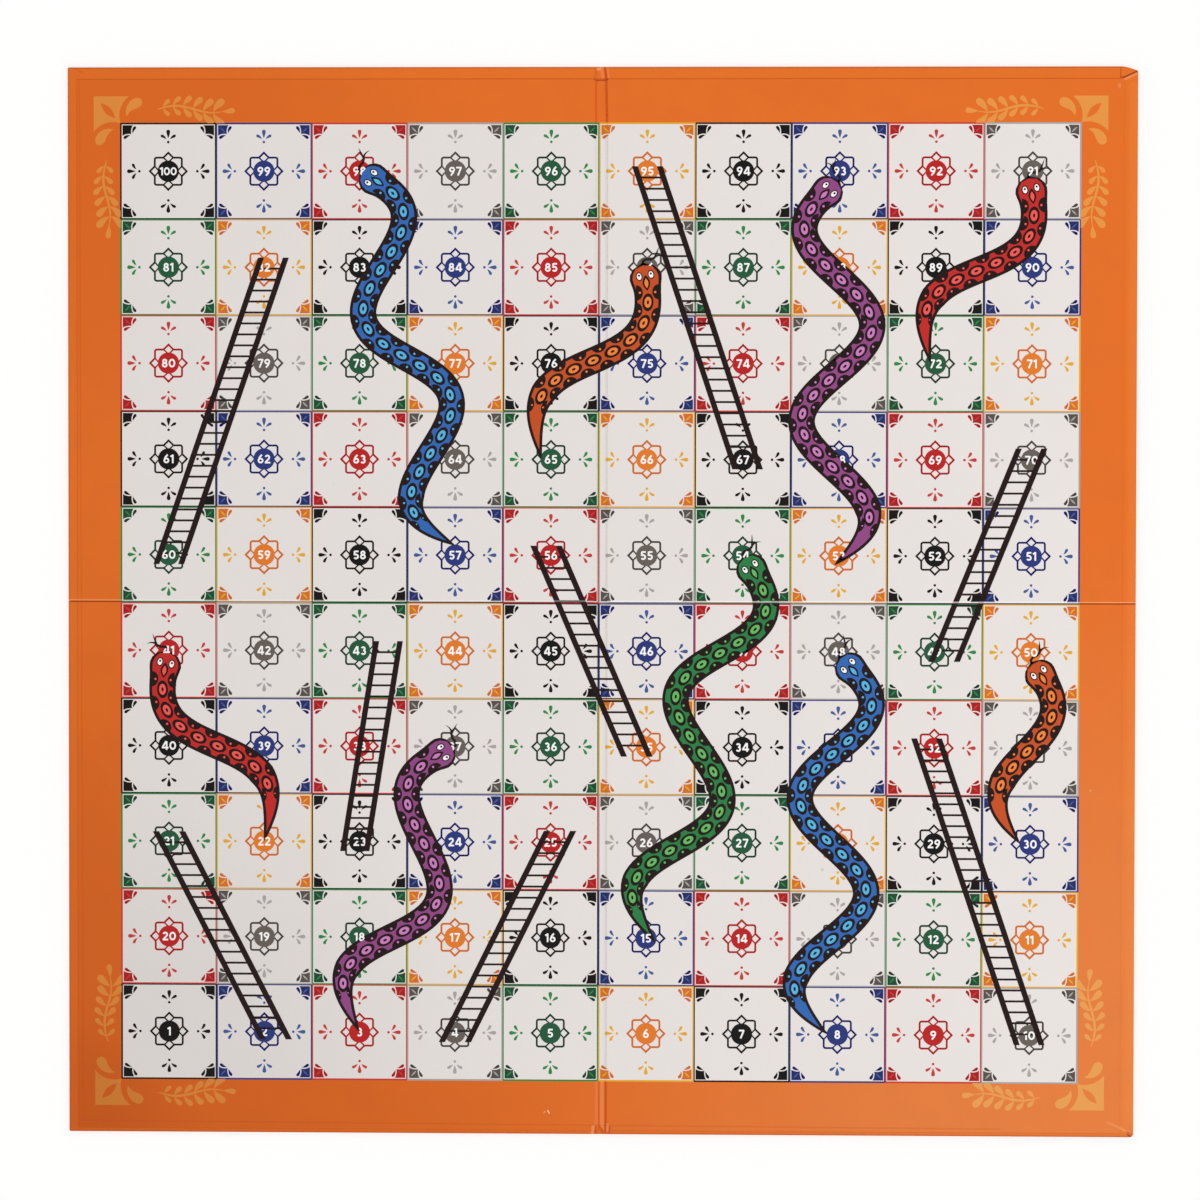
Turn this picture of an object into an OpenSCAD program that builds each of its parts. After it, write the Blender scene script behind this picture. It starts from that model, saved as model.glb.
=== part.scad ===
// Folding board for snakes and ladders.
// Four greyboard panels are covered with one sheet of paper that wraps round
// their outer edges, and a printed sheet is laid over the turned-in margins.
// The upper and lower halves fold shut, print to print, over a channel between
// the panels. The left panels butt and fold back to back on the covering paper.
// The right panels are cut apart, so that the board folds to a quarter.
// Frame: origin under the middle of the open board, X to the right, Y to the
// last row of squares, Z up out of the print. All sizes are in millimetres.

/* [Board] */
// Side of one square
square_w = 35.9; // [25:0.1:50]
// Margin from the playing field to the board's edge
margin_w = 20.5; // [18:0.5:40]
// Thickness of the greyboard
greyboard_t = 1.6; // [1.2:0.1:3]
// Radius of the board's outer corners
corner_r = 1.2; // [0.8:0.1:3]

/* [Covering paper] */
// Thickness of the covering paper
wrap_t = 0.2; // [0.1:0.05:0.4]
// How far the covering paper turns in over the printed side
turn_in_w = 16; // [10:1:22]
// Open line between the two turned-in flaps at a corner
mitre_gap = 0.3; // [0.1:0.1:1]

/* [Printed sheet] */
// Thickness of the printed sheet
face_t = 0.2; // [0.1:0.05:0.4]
// Covering paper left bare beside the printed sheet, left edge
reveal_left = 3.6; // [1:0.2:8]
// Covering paper left bare beside the printed sheet, right edge
reveal_right = 5.2; // [1:0.2:8]
// Covering paper left bare above the printed sheet
reveal_top = 4.6; // [1:0.2:8]
// Covering paper left bare below the printed sheet
reveal_bottom = 1.6; // [1:0.2:8]

/* [Print] */
// Thickness of one pass of ink
ink_t = 0.04; // [0.02:0.01:0.06]
// Playing field's place to the right of the board's middle
field_shift_x = -0.6; // [-2:0.1:2]
// Playing field's place above the board's middle
field_shift_y = -0.4; // [-2:0.1:2]
// Width of the line round each square
frame_line = 0.6; // [0.3:0.1:1]
// Radius of the disc that carries a square's number
disc_r = 4; // [2:0.1:8]

/* [Ladders] */
// Width across a ladder's rails, from middle to middle
ladder_w = 8.8; // [5:0.1:14]
// Width of a rail
rail_w = 2.1; // [1:0.1:4]
// Thickness of a rung
rung_w = 0.75; // [0.4:0.05:2]
// Distance from one rung to the next
rung_pitch = 4.1; // [3:0.1:8]

/* [Snakes] */
// Width of a snake's body
snake_w = 10; // [6:0.2:16]
// Black outline round a snake
snake_line = 1.1; // [0.5:0.1:2]
// Length of a snake's head
head_len = 11; // [8:0.5:16]
// Length over which the tail narrows to its tip
tail_len = 26; // [15:1:40]
// Distance from one back marking to the next
marking_pitch = 8; // [6:0.5:14]

/* [Folds] */
// Channel between the panels at the two folds that close print to print
channel_w = 5; // [4:0.1:7]
// How far the papers sag into that channel
channel_sag = 0.5; // [0.2:0.1:0.9]
// Gap between the left panels, which butt at the fold that closes back to back
butt_gap = 0.4; // [0.2:0.1:1]
// Width of the cut between the right panels
cut_w = 0.4; // [0.2:0.1:1]

/* [Hidden] */
$fn = 64;

// Squares along one side, half of them on each panel
squares = 10;
panel_squares = squares / 2;
field_w = squares * square_w;
half = field_w / 2 + margin_w;
// Heights of the covering paper's top, the turned-in flaps, the printed sheet
// and the ink that is printed over other ink
board_z = wrap_t;
flush_z = wrap_t + greyboard_t;
top_z = flush_z + face_t;
ink_top_z = top_z + 2 * ink_t;
// Each cut and each clearing shape runs past what it cuts by this much
overrun = 1;
// Half the slanted width that opens the mitre by mitre_gap
mitre_slant = mitre_gap / sqrt(2);

// The circle that the sagging papers follow across the channel
sag_r = (channel_w * channel_w / 4 + channel_sag * channel_sag) / (2 * channel_sag);
sag_centre_z = top_z - channel_sag + sag_r;

// Foot and top of each ladder, as shares of a square from the field's corner
ladder_shares = [
    [[1.62, 0.42], [0.5, 2.6]], [[3.5, 0.4], [4.6, 2.62]],
    [[9.5, 0.4], [8.42, 3.6]], [[2.45, 2.4], [2.8, 4.6]],
    [[5.4, 3.4], [4.45, 5.6]], [[8.6, 4.4], [9.5, 6.62]],
    [[0.5, 5.4], [1.6, 8.6]], [[6.55, 6.4], [5.5, 9.55]]
];
// Snout and tail tip of each snake, its number of bends and how far it sways to
// the side at each, as shares of a square; the sign sets the first bend's side
snake_shares = [
    [[2.5, 9.5], [3.5, 5.6], 4, 0.34], [[9.45, 9.45], [8.45, 7.5], 2, 0.3],
    [[7.5, 9.4], [7.45, 5.4], 4, -0.36], [[6.5, 5.5], [5.6, 1.45], 4, 0.36],
    [[5.45, 8.55], [4.4, 6.5], 2, 0.3], [[7.5, 4.45], [7.4, 0.5], 4, 0.36],
    [[0.5, 4.5], [1.5, 2.5], 2, -0.3], [[3.5, 3.5], [2.5, 0.5], 3, -0.34],
    [[9.5, 4.4], [9.4, 2.5], 2, 0.26]
];
snake_colours = [
    [0.2, 0.5, 0.8], [0.75, 0.2, 0.2], [0.55, 0.25, 0.55], [0.2, 0.6, 0.35],
    [0.8, 0.5, 0.2], [0.2, 0.5, 0.8], [0.75, 0.2, 0.2], [0.55, 0.25, 0.55],
    [0.8, 0.5, 0.2]
];
// Stations along each bend of a snake's outline
bend_steps = 14;
// How much wider than the body the head is, and where its widest point and its
// eyes lie, as shares of the head's length
head_swell_share = 0.2;
head_widest_share = 0.5;
eye_share = 0.45;
// Eyes and back markings, as shares of half the body's width
eye_r_share = 0.17;
eye_side_share = 0.45;
marking_w_share = 0.42;
marking_corners = 8;

// Quarter of the board, drawn towards +X +Y and mirrored to its place
module quarter(side_x, side_y) {
    mirror([side_x < 0 ? 1 : 0, 0, 0])
        mirror([0, side_y < 0 ? 1 : 0, 0]) children();
}

// Gap along the horizontal line on one side of the board
function line_gap(side_x) = side_x < 0 ? butt_gap : cut_w;
function reveal_x(side_x) = side_x < 0 ? reveal_left : reveal_right;
function reveal_y(side_y) = side_y < 0 ? reveal_bottom : reveal_top;

// Outline of a quarter panel, its two outer edges drawn in by inset and its
// two fold edges moved out by past
module panel_outline(side_x, inset, past = 0) {
    low_x = channel_w / 2 - past;
    low_y = line_gap(side_x) / 2 - past;
    far = half - inset;
    r = corner_r - min(inset, corner_r / 2);
    translate([low_x, low_y]) square([far - r - low_x, far - low_y]);
    translate([low_x, low_y]) square([far - low_x, far - r - low_y]);
    translate([far - r, far - r]) circle(r);
}

// The two turned-in flaps of a quarter, parted by the mitre
module flap_outline(side_x) {
    low_x = channel_w / 2;
    low_y = line_gap(side_x) / 2;
    inner = half - turn_in_w;
    intersection() {
        panel_outline(side_x, 0);
        union() {
            polygon([
                [inner, low_y], [half, low_y],
                [half, half - mitre_slant], [inner, inner - mitre_slant]
            ]);
            polygon([
                [low_x, inner], [inner - mitre_slant, inner],
                [half - mitre_slant, half], [low_x, half]
            ]);
        }
    }
}

// Stiff core of one panel, pressed down at the margin where the flaps lie
module greyboard(side_x, side_y) {
    color([0.62, 0.58, 0.53]) quarter(side_x, side_y) {
        translate([0, 0, board_z])
            linear_extrude(greyboard_t - wrap_t) panel_outline(side_x, wrap_t);
        translate([channel_w / 2, line_gap(side_x) / 2, board_z])
            cube([
                half - turn_in_w - channel_w / 2,
                half - turn_in_w - line_gap(side_x) / 2,
                greyboard_t
            ]);
    }
}

// Covering paper of one panel: the back, the two outer edges and their flaps
module wrap(side_x, side_y) {
    color([0.84, 0.4, 0.15]) quarter(side_x, side_y) {
        linear_extrude(wrap_t) panel_outline(side_x, 0);
        linear_extrude(flush_z) difference() {
            panel_outline(side_x, 0);
            panel_outline(side_x, wrap_t, overrun);
        }
        translate([0, 0, flush_z - wrap_t])
            linear_extrude(wrap_t) flap_outline(side_x);
    }
}

// Outline of the printed sheet on one panel, drawn towards +X +Y
module face_outline(side_x, side_y) {
    low_x = channel_w / 2;
    low_y = line_gap(side_x) / 2;
    translate([low_x, low_y])
        square([half - reveal_x(side_x) - low_x, half - reveal_y(side_y) - low_y]);
}

// Printed sheet of one panel with its print
module face(side_x, side_y) {
    color([0.9, 0.87, 0.85]) quarter(side_x, side_y)
        translate([0, 0, flush_z])
            linear_extrude(face_t) face_outline(side_x, side_y);
    on_panel(side_x, side_y, ink_t) {
        color([0.84, 0.4, 0.15]) ground(side_x, side_y);
        color([0.2, 0.3, 0.45]) frames(side_x, side_y);
        color([0.2, 0.3, 0.45]) discs(side_x, side_y);
        snake_bodies(snake_line / 2);
    }
    on_panel(side_x, side_y, 2 * ink_t) {
        color([0.18, 0.13, 0.13]) ladders();
        color([0.1, 0.09, 0.08]) snake_lines();
    }
}

// Prints what is drawn over the whole board on one panel's sheet
module on_panel(side_x, side_y, ink_h) {
    translate([0, 0, top_z])
        for (i = [0:$children - 1])
            linear_extrude(ink_h) intersection() {
                quarter(side_x, side_y) face_outline(side_x, side_y);
                children(i);
            }
}

// Middle of a square or any other point, from its place in squares
function field_point(share) = [
    field_shift_x + (share[0] - panel_squares) * square_w,
    field_shift_y + (share[1] - panel_squares) * square_w
];
// First column or row of the squares on one side of the middle
function first_square(side) = side < 0 ? 0 : panel_squares;

// Coloured ground of the margin round the playing field
module ground(side_x, side_y) {
    difference() {
        quarter(side_x, side_y) square([half, half]);
        translate(field_point([0, 0])) square([field_w, field_w]);
    }
}

// Lines round the squares of one panel
module frames(side_x, side_y) {
    col = first_square(side_x);
    row = first_square(side_y);
    inner = square_w - 2 * frame_line;
    difference() {
        translate(field_point([col, row])) square(panel_squares * square_w);
        for (i = [0:panel_squares - 1], j = [0:panel_squares - 1])
            translate(field_point([col + i, row + j]))
                translate([frame_line, frame_line]) square(inner);
    }
}

// Discs for the numbers on the squares of one panel
module discs(side_x, side_y) {
    col = first_square(side_x) + 1 / 2;
    row = first_square(side_y) + 1 / 2;
    for (i = [0:panel_squares - 1], j = [0:panel_squares - 1])
        translate(field_point([col + i, row + j])) circle(disc_r);
}

// All ladders, with rails whose ends are level and with level rungs
module ladders() {
    for (place = ladder_shares) {
        foot = field_point(place[0]);
        top = field_point(place[1]);
        rise = top[1] - foot[1];
        slant = (top[0] - foot[0]) / rise;
        // A slanted rail and its distance from the middle are wider when level
        widen = norm([slant, 1]);
        reach = ladder_w / 2 * widen;
        rail = rail_w / 2 * widen;
        rungs = floor(rise / rung_pitch);
        for (side = [-1, 1])
            polygon([
                foot + [side * reach - rail, 0], foot + [side * reach + rail, 0],
                top + [side * reach + rail, 0], top + [side * reach - rail, 0]
            ]);
        for (i = [1:rungs - 1]) {
            y = rise * i / rungs;
            translate([foot[0] + slant * y - reach, foot[1] + y - rung_w / 2])
                square([2 * reach, rung_w]);
        }
    }
}

// Point at share t of the way from a snake's snout to its tail tip
function snake_point(snake, t) =
    let (
        snout = field_point(snake[0]),
        tip = field_point(snake[1]),
        way = tip - snout,
        across = [-way[1], way[0]] / norm(way),
        sway = snake[3] * square_w * sin(180 * snake[2] * t)
    )
    snout + way * t + across * sway;

// Points along a snake's back, and the distance of each from the snout
function snake_spine(snake) =
    let (steps = snake[2] * bend_steps)
    [for (i = [0:steps]) snake_point(snake, i / steps)];
function snake_lengths(spine, i = 1, run = [0]) =
    i == len(spine) ? run
    : snake_lengths(spine, i + 1, concat(run, run[i - 1] + norm(spine[i] - spine[i - 1])));

// Direction of the spine at a point of it
function spine_way(spine, i) =
    let (
        way = spine[min(i + 1, len(spine) - 1)] - spine[max(i - 1, 0)]
    )
    way / norm(way);

// Half width of a snake at distance u from its snout, on a snake of length
function snake_half(u, length) =
    let (
        swell = 1 + head_swell_share * exp(-pow((u / head_len - head_widest_share) * 3, 2)),
        snout_share = min(1, u / (head_len * head_widest_share)),
        snout = sqrt(1 - pow(1 - snout_share, 2)),
        tail = min(1, (length - u) / tail_len)
    )
    snake_w / 2 * swell * snout * pow(tail, 0.8);

// Outline of a snake, drawn in by inset; the drawn-in one stops short of the tip
function snake_outline(snake, inset) =
    let (
        spine = snake_spine(snake),
        run = snake_lengths(spine),
        length = run[len(run) - 1],
        steps = [for (i = [1:len(spine) - 1]) if (snake_half(run[i], length) > inset) i],
        last = steps[len(steps) - 1],
        tip_share = inset > 0 ? 1 / 2 : 1,
        side = function (i, s)
            let (way = spine_way(spine, i))
            spine[i] + s * (snake_half(run[i], length) - inset) * [-way[1], way[0]]
    )
    concat(
        [spine[0] + spine_way(spine, 0) * inset],
        [for (i = steps) side(i, 1)],
        [spine[last] + (spine[last + 1] - spine[last]) * tip_share],
        [for (k = [len(steps) - 1:-1:0]) side(steps[k], -1)]
    );

// Place and way at distance u from the snout, between two points of the spine
function spine_at(spine, run, u, i = 1) =
    i == len(run) - 1 || run[i] >= u
    ? let (share = (u - run[i - 1]) / (run[i] - run[i - 1]))
        [spine[i - 1] + (spine[i] - spine[i - 1]) * share, spine_way(spine, i)]
    : spine_at(spine, run, u, i + 1);

// Coloured bodies of the snakes, drawn in by inset
module snake_bodies(inset) {
    for (k = [0:len(snake_shares) - 1])
        color(snake_colours[k]) polygon(snake_outline(snake_shares[k], inset));
}

// Black outlines, eyes and back markings of the snakes
module snake_lines() {
    for (snake = snake_shares) {
        difference() {
            polygon(snake_outline(snake, 0));
            polygon(snake_outline(snake, snake_line));
        }
        snake_marks(snake);
    }
}

// Two eyes, and a row of pointed oval markings down the back
module snake_marks(snake) {
    spine = snake_spine(snake);
    run = snake_lengths(spine);
    length = run[len(run) - 1];
    head = spine_at(spine, run, head_len * eye_share);
    across = [-head[1][1], head[1][0]];
    for (side = [-1, 1])
        translate(head[0] + side * across * eye_side_share * snake_w / 2)
            circle(eye_r_share * snake_w / 2);
    count = floor((length - head_len - tail_len / 2) / marking_pitch);
    for (i = [1:count]) {
        at = spine_at(spine, run, head_len + (i - 1 / 2) * marking_pitch);
        along = at[1] * marking_pitch * marking_w_share;
        aside = [-at[1][1], at[1][0]] * snake_w / 2 * marking_w_share;
        polygon([
            for (c = [0:marking_corners - 1])
                let (a = 360 * c / marking_corners)
                at[0] + along * cos(a) + aside * sin(a)
        ]);
    }
}

// Sagging band across the channel, from depth_a to depth_b below the print
module sag_band(depth_a, depth_b) {
    intersection() {
        translate([-channel_w / 2, 0]) square([channel_w, ink_top_z]);
        translate([0, sag_centre_z]) difference() {
            circle(sag_r + depth_b);
            circle(sag_r + depth_a);
        }
    }
}

// Runs a profile drawn in X and Z along Y, from one end to the other
module along_fold(from_y, to_y) {
    translate([0, to_y, 0]) rotate([90, 0, 0])
        linear_extrude(to_y - from_y) children();
}

// Printed sheet where it bridges the channel, from the cut to its outer edge
module face_hinge(side_y) {
    color([0.9, 0.87, 0.85]) fold_sheet(side_y, 0, face_t);
    on_fold(side_y) {
        color([0.84, 0.4, 0.15]) {
            ground(-1, side_y);
            ground(1, side_y);
        }
        color([0.2, 0.3, 0.45]) {
            frames(-1, side_y);
            frames(1, side_y);
        }
        snake_bodies(0);
    }
}

// Layer of the sagging sheet on one half, from depth_a to depth_b below its top
module fold_sheet(side_y, depth_a, depth_b) {
    quarter(1, side_y)
        along_fold(cut_w / 2, half - reveal_y(side_y)) sag_band(depth_a, depth_b);
}

// Prints what is drawn over the whole board on the sagging sheet of one half
module on_fold(side_y) {
    for (i = [0:$children - 1])
        intersection() {
            fold_sheet(side_y, -ink_t, 0);
            linear_extrude(ink_top_z + overrun) children(i);
        }
}

// Covering paper where it bridges the channel, with its end turned in
module wrap_hinge(side_y) {
    color([0.8, 0.37, 0.13]) quarter(1, side_y) {
        along_fold(cut_w / 2, half)
            translate([-channel_w / 2, 0]) square([channel_w, wrap_t]);
        along_fold(half - wrap_t, half) difference() {
            translate([-channel_w / 2, 0]) square([channel_w, flush_z]);
            translate([0, sag_centre_z]) circle(sag_r + face_t);
        }
        along_fold(half - turn_in_w, half) sag_band(face_t, face_t + wrap_t);
    }
}

// Covering paper that holds the two left panels together along their butt
module wrap_hinge_left() {
    color([0.8, 0.37, 0.13])
        translate([-half, -butt_gap / 2, 0])
            cube([half - channel_w / 2, butt_gap, wrap_t]);
}

greyboard(-1, 1);  // greyboard_top_left
greyboard(1, 1);  // greyboard_top_right
greyboard(-1, -1);  // greyboard_bottom_left
greyboard(1, -1);  // greyboard_bottom_right
wrap(-1, 1);  // wrap_top_left
wrap(1, 1);  // wrap_top_right
wrap(-1, -1);  // wrap_bottom_left
wrap(1, -1);  // wrap_bottom_right
face(-1, 1);  // face_top_left
face(1, 1);  // face_top_right
face(-1, -1);  // face_bottom_left
face(1, -1);  // face_bottom_right
face_hinge(1);  // face_hinge_upper
face_hinge(-1);  // face_hinge_lower
wrap_hinge(1);  // wrap_hinge_upper
wrap_hinge(-1);  // wrap_hinge_lower
wrap_hinge_left();
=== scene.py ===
"""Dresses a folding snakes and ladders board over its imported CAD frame.

Everything is drawn in millimetres, as in the part's source, and turned into
metres when a mesh is made. The print is laid as thin films of ink on the
printed sheet, cut at the folds so that each film rides on its own panel.
"""

import logging
import math
from dataclasses import dataclass, field
from enum import Enum
from typing import Callable, Iterable, Sequence

import bmesh
import bpy
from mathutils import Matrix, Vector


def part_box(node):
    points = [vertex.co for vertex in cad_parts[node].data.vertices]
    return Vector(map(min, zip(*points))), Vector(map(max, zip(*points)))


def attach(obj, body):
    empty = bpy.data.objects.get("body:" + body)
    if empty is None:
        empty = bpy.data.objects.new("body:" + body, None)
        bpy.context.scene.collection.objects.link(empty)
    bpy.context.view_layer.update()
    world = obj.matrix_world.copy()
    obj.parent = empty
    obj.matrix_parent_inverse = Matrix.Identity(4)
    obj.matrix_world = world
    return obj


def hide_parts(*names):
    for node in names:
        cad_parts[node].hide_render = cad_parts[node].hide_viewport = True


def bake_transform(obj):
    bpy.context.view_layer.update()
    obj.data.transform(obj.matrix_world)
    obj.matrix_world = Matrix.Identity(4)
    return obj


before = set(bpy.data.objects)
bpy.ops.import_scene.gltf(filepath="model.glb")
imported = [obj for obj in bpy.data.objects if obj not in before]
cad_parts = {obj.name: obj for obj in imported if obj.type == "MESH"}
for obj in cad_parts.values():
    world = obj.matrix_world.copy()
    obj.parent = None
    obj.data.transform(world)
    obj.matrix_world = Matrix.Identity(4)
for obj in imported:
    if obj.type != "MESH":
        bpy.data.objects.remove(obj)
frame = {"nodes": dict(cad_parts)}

LOG = logging.getLogger("board")

Point = tuple[float, float]
Polygon = list[Point]
Spot = tuple[float, float, float]
Where = Callable[[int, int], Spot]
Lift = Callable[[float, float], float]
Back = list[tuple[Point, Point, float]]
Screen = tuple[int, int, int]
Socket = bpy.types.NodeSocket

MM = 0.001
CORNERS = ((-1, -1), (-1, 1), (1, -1), (1, 1))


# Sizes of the board, as in the part's source


@dataclass(frozen=True)
class BoardPlan:
    """Sizes of the board in millimetres, and the places worked out from them."""

    square: float = 35.9
    margin: float = 20.5
    greyboard: float = 1.6
    corner: float = 1.2
    wrap: float = 0.2
    turn_in: float = 16.0
    sheet: float = 0.2
    reveal_left: float = 3.6
    reveal_right: float = 5.2
    reveal_top: float = 4.6
    reveal_bottom: float = 1.6
    shift_x: float = -0.6
    shift_y: float = -0.4
    channel: float = 5.0
    butt_seen: float = 0.12
    cut_seen: float = 0.03
    turn: float = 0.005
    beside_turn: float = 0.006
    squares: int = 10

    @property
    def half(self) -> float:
        """Half the side of the open board."""
        return self.squares * self.square / 2 + self.margin

    @property
    def flush(self) -> float:
        """Height of the turned-in flaps and of the greyboard."""
        return self.wrap + self.greyboard

    @property
    def top(self) -> float:
        """Height of the printed sheet."""
        return self.flush + self.sheet

    def place(self, col: float, row: float) -> Point:
        """Point at a place counted in squares from the field's lower left corner."""
        middle = self.squares / 2
        return (
            self.shift_x + (col - middle) * self.square,
            self.shift_y + (row - middle) * self.square,
        )


PLAN = BoardPlan()


@dataclass(frozen=True)
class Channel:
    """How the sheets sag between the panels, with a crease pressed in near each side.

    The number of columns across the channel is odd, so that no point lies on the fold's own line:
    at a half turn such a point could go either way.
    """

    column: float = 5.0 / 21
    row: float = 4.0
    bed: float = 0.34
    crease: float = 0.09
    crease_half: float = 0.26
    left_top: float = -1.9
    left_bottom: float = -0.3
    right_bottom: float = 2.25
    right_top: float = 1.75
    lean_from: float = 182.0

    def left(self, y: float) -> float:
        """Place of the left crease, which leans a little."""
        share = (y / PLAN.half + 1) / 2
        return self.left_bottom + (self.left_top - self.left_bottom) * share

    def right(self, y: float) -> float:
        """Place of the right crease, which leans in at its upper end only."""
        share = max(0.0, (y - self.lean_from) / (PLAN.half - self.lean_from))
        return self.right_bottom + (self.right_top - self.right_bottom) * share

    def dip(self, x: float, y: float) -> float:
        """Height of the sagging sheet over the flat one.

        Args:
            x: Distance from the board's middle.
            y: Distance along the fold.

        Returns:
            A negative height in the channel, and 0 outside it.
        """
        share = min(1.0, abs(x) / (PLAN.channel / 2))
        pressed = sum(
            math.exp(-(((x - at) / self.crease_half) ** 2)) for at in (self.left(y), self.right(y))
        )
        return -(self.bed * (1 - share**3) ** 1.5 + self.crease * pressed * (1 - share**12))

    def height(self, x: float, y: float) -> float:
        """The dip, taken between the corners of a grid that sheet and ink share."""
        first = -PLAN.channel / 2
        i, j = math.floor((x - first) / self.column), math.floor(y / self.row)
        s, t = (x - first) / self.column - i, y / self.row - j
        near = [
            self.dip(first + (i + a) * self.column, (j + b) * self.row) for b in (0, 1) for a in (0, 1)
        ]
        low = near[0] + (near[1] - near[0]) * s
        high = near[2] + (near[3] - near[2]) * s
        return low + (high - low) * t

    def rows(self, low: float, high: float) -> list[float]:
        """Places of the grid's rows between two ends, with the ends."""
        inner = range(math.floor(low / self.row) + 1, math.ceil(high / self.row))
        return [low] + [k * self.row for k in inner] + [high]


CHANNEL = Channel()


class Panel(Enum):
    """The four panels."""

    TOP_LEFT = ("top_left", -1, 1)
    TOP_RIGHT = ("top_right", 1, 1)
    BOTTOM_LEFT = ("bottom_left", -1, -1)
    BOTTOM_RIGHT = ("bottom_right", 1, -1)

    def __init__(self, body: str, side_x: int, side_y: int) -> None:
        """Keeps the CAD body's name, and the sides of fold and cut, -1 or 1."""
        self.body, self.side_x, self.side_y = body, side_x, side_y

    @property
    def gap(self) -> float:
        """Gap that shows between the papers along the level line beside this panel."""
        return PLAN.butt_seen if self.side_x < 0 else PLAN.cut_seen


class FoldHalf(Enum):
    """The two halves of the channel."""

    UPPER = ("upper", 1, "top_left", "top_right")
    LOWER = ("lower", -1, "bottom_left", "bottom_right")

    def __init__(self, label: str, side_y: int, left_body: str, right_body: str) -> None:
        """Keeps the half's name, its side of the cut, and the two bodies that it joins."""
        self.label, self.side_y = label, side_y
        self.left_body, self.right_body = left_body, right_body


@dataclass(frozen=True)
class Region:
    """A rectangle of the printed sheet, in millimetres."""

    low_x: float
    low_y: float
    high_x: float
    high_y: float

    @staticmethod
    def of_panel(panel: Panel) -> "Region":
        """Printed sheet on one panel."""
        far_x = PLAN.half - (PLAN.reveal_left if panel.side_x < 0 else PLAN.reveal_right)
        far_y = PLAN.half - (PLAN.reveal_top if panel.side_y > 0 else PLAN.reveal_bottom)
        xs = sorted((panel.side_x * PLAN.channel / 2, panel.side_x * far_x))
        ys = sorted((panel.side_y * panel.gap / 2, panel.side_y * far_y))
        return Region(xs[0], ys[0], xs[1], ys[1])

    @staticmethod
    def of_fold(half: FoldHalf) -> "Region":
        """Printed sheet over one half of the channel."""
        far_y = PLAN.half - (PLAN.reveal_top if half.side_y > 0 else PLAN.reveal_bottom)
        ys = sorted((half.side_y * PLAN.cut_seen / 2, half.side_y * far_y))
        return Region(-PLAN.channel / 2, ys[0], PLAN.channel / 2, ys[1])

    def bands(self, count: int) -> list["Region"]:
        """The region cut into upright bands, for a film that has to bend."""
        step = (self.high_x - self.low_x) / count
        return [
            Region(self.low_x + i * step, self.low_y, self.low_x + (i + 1) * step, self.high_y)
            for i in range(count)
        ]

    def clip(self, shape: Polygon) -> Polygon:
        """Cuts a polygon to the region.

        Args:
            shape: Corners of the polygon, in order.

        Returns:
            The corners of what lies inside, or an empty list.
        """
        xs = [p[0] for p in shape]
        ys = [p[1] for p in shape]
        if max(xs) <= self.low_x or min(xs) >= self.high_x:
            return []
        if max(ys) <= self.low_y or min(ys) >= self.high_y:
            return []
        sides = (
            (0, self.low_x, 1, min(xs) < self.low_x),
            (0, self.high_x, -1, max(xs) > self.high_x),
            (1, self.low_y, 1, min(ys) < self.low_y),
            (1, self.high_y, -1, max(ys) > self.high_y),
        )
        for axis, limit, sign, crosses in sides:
            if crosses:
                shape = cut_at(shape, axis, limit, sign)
        return shape


# Drawing in the plane


def cut_at(shape: Polygon, axis: int, limit: float, sign: int) -> Polygon:
    """Keeps the part of a polygon on one side of a level or upright line.

    Args:
        shape: Corners of the polygon, in order.
        axis: 0 for an upright line and 1 for a level one.
        limit: Where the line crosses that axis.
        sign: 1 to keep what lies above the limit, -1 for what lies below.

    Returns:
        The corners of the part that is kept.
    """
    kept: Polygon = []
    for i, here in enumerate(shape):
        before = shape[i - 1]
        inside = sign * (here[axis] - limit) >= 0
        was_inside = sign * (before[axis] - limit) >= 0
        if inside != was_inside:
            t = (limit - before[axis]) / (here[axis] - before[axis])
            other = before[1 - axis] + t * (here[1 - axis] - before[1 - axis])
            kept.append((limit, other) if axis == 0 else (other, limit))
        if inside:
            kept.append(here)
    return kept


def area_of(shape: Polygon) -> float:
    """Signed area of a polygon, above 0 where it runs anticlockwise."""
    total = 0.0
    for i, (x, y) in enumerate(shape):
        bx, by = shape[i - 1]
        total += bx * y - x * by
    return total / 2


def facing_up(shape: Polygon) -> Polygon:
    """The same polygon, running anticlockwise."""
    return shape if area_of(shape) > 0 else shape[::-1]


def turned(shape: Polygon, quarter_turns: int, at: Point = (0.0, 0.0)) -> Polygon:
    """A polygon turned by quarter turns about 0, then moved.

    Args:
        shape: Corners of the polygon.
        quarter_turns: Number of anticlockwise quarter turns.
        at: Where its origin goes.

    Returns:
        The moved corners, in the same order.
    """
    cos, sin = ((1, 0), (0, 1), (-1, 0), (0, -1))[quarter_turns % 4]
    return [(at[0] + x * cos - y * sin, at[1] + x * sin + y * cos) for x, y in shape]


def mirrored(shape: Polygon, sx: int, sy: int, at: Point = (0.0, 0.0)) -> Polygon:
    """A polygon mirrored in X or Y, or both, then moved."""
    return [(at[0] + sx * x, at[1] + sy * y) for x, y in shape]


def arc(middle: Point, radius: float, start: float, end: float, steps: int) -> Polygon:
    """Points along an arc, both ends included, with the angles in degrees."""
    points = []
    for i in range(steps + 1):
        a = math.radians(start + (end - start) * i / steps)
        points.append((middle[0] + radius * math.cos(a), middle[1] + radius * math.sin(a)))
    return points


def disc(middle: Point, radius: float, corners: int = 40) -> Polygon:
    """A round polygon."""
    return arc(middle, radius, 0, 360 * (corners - 1) / corners, corners - 1)


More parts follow.
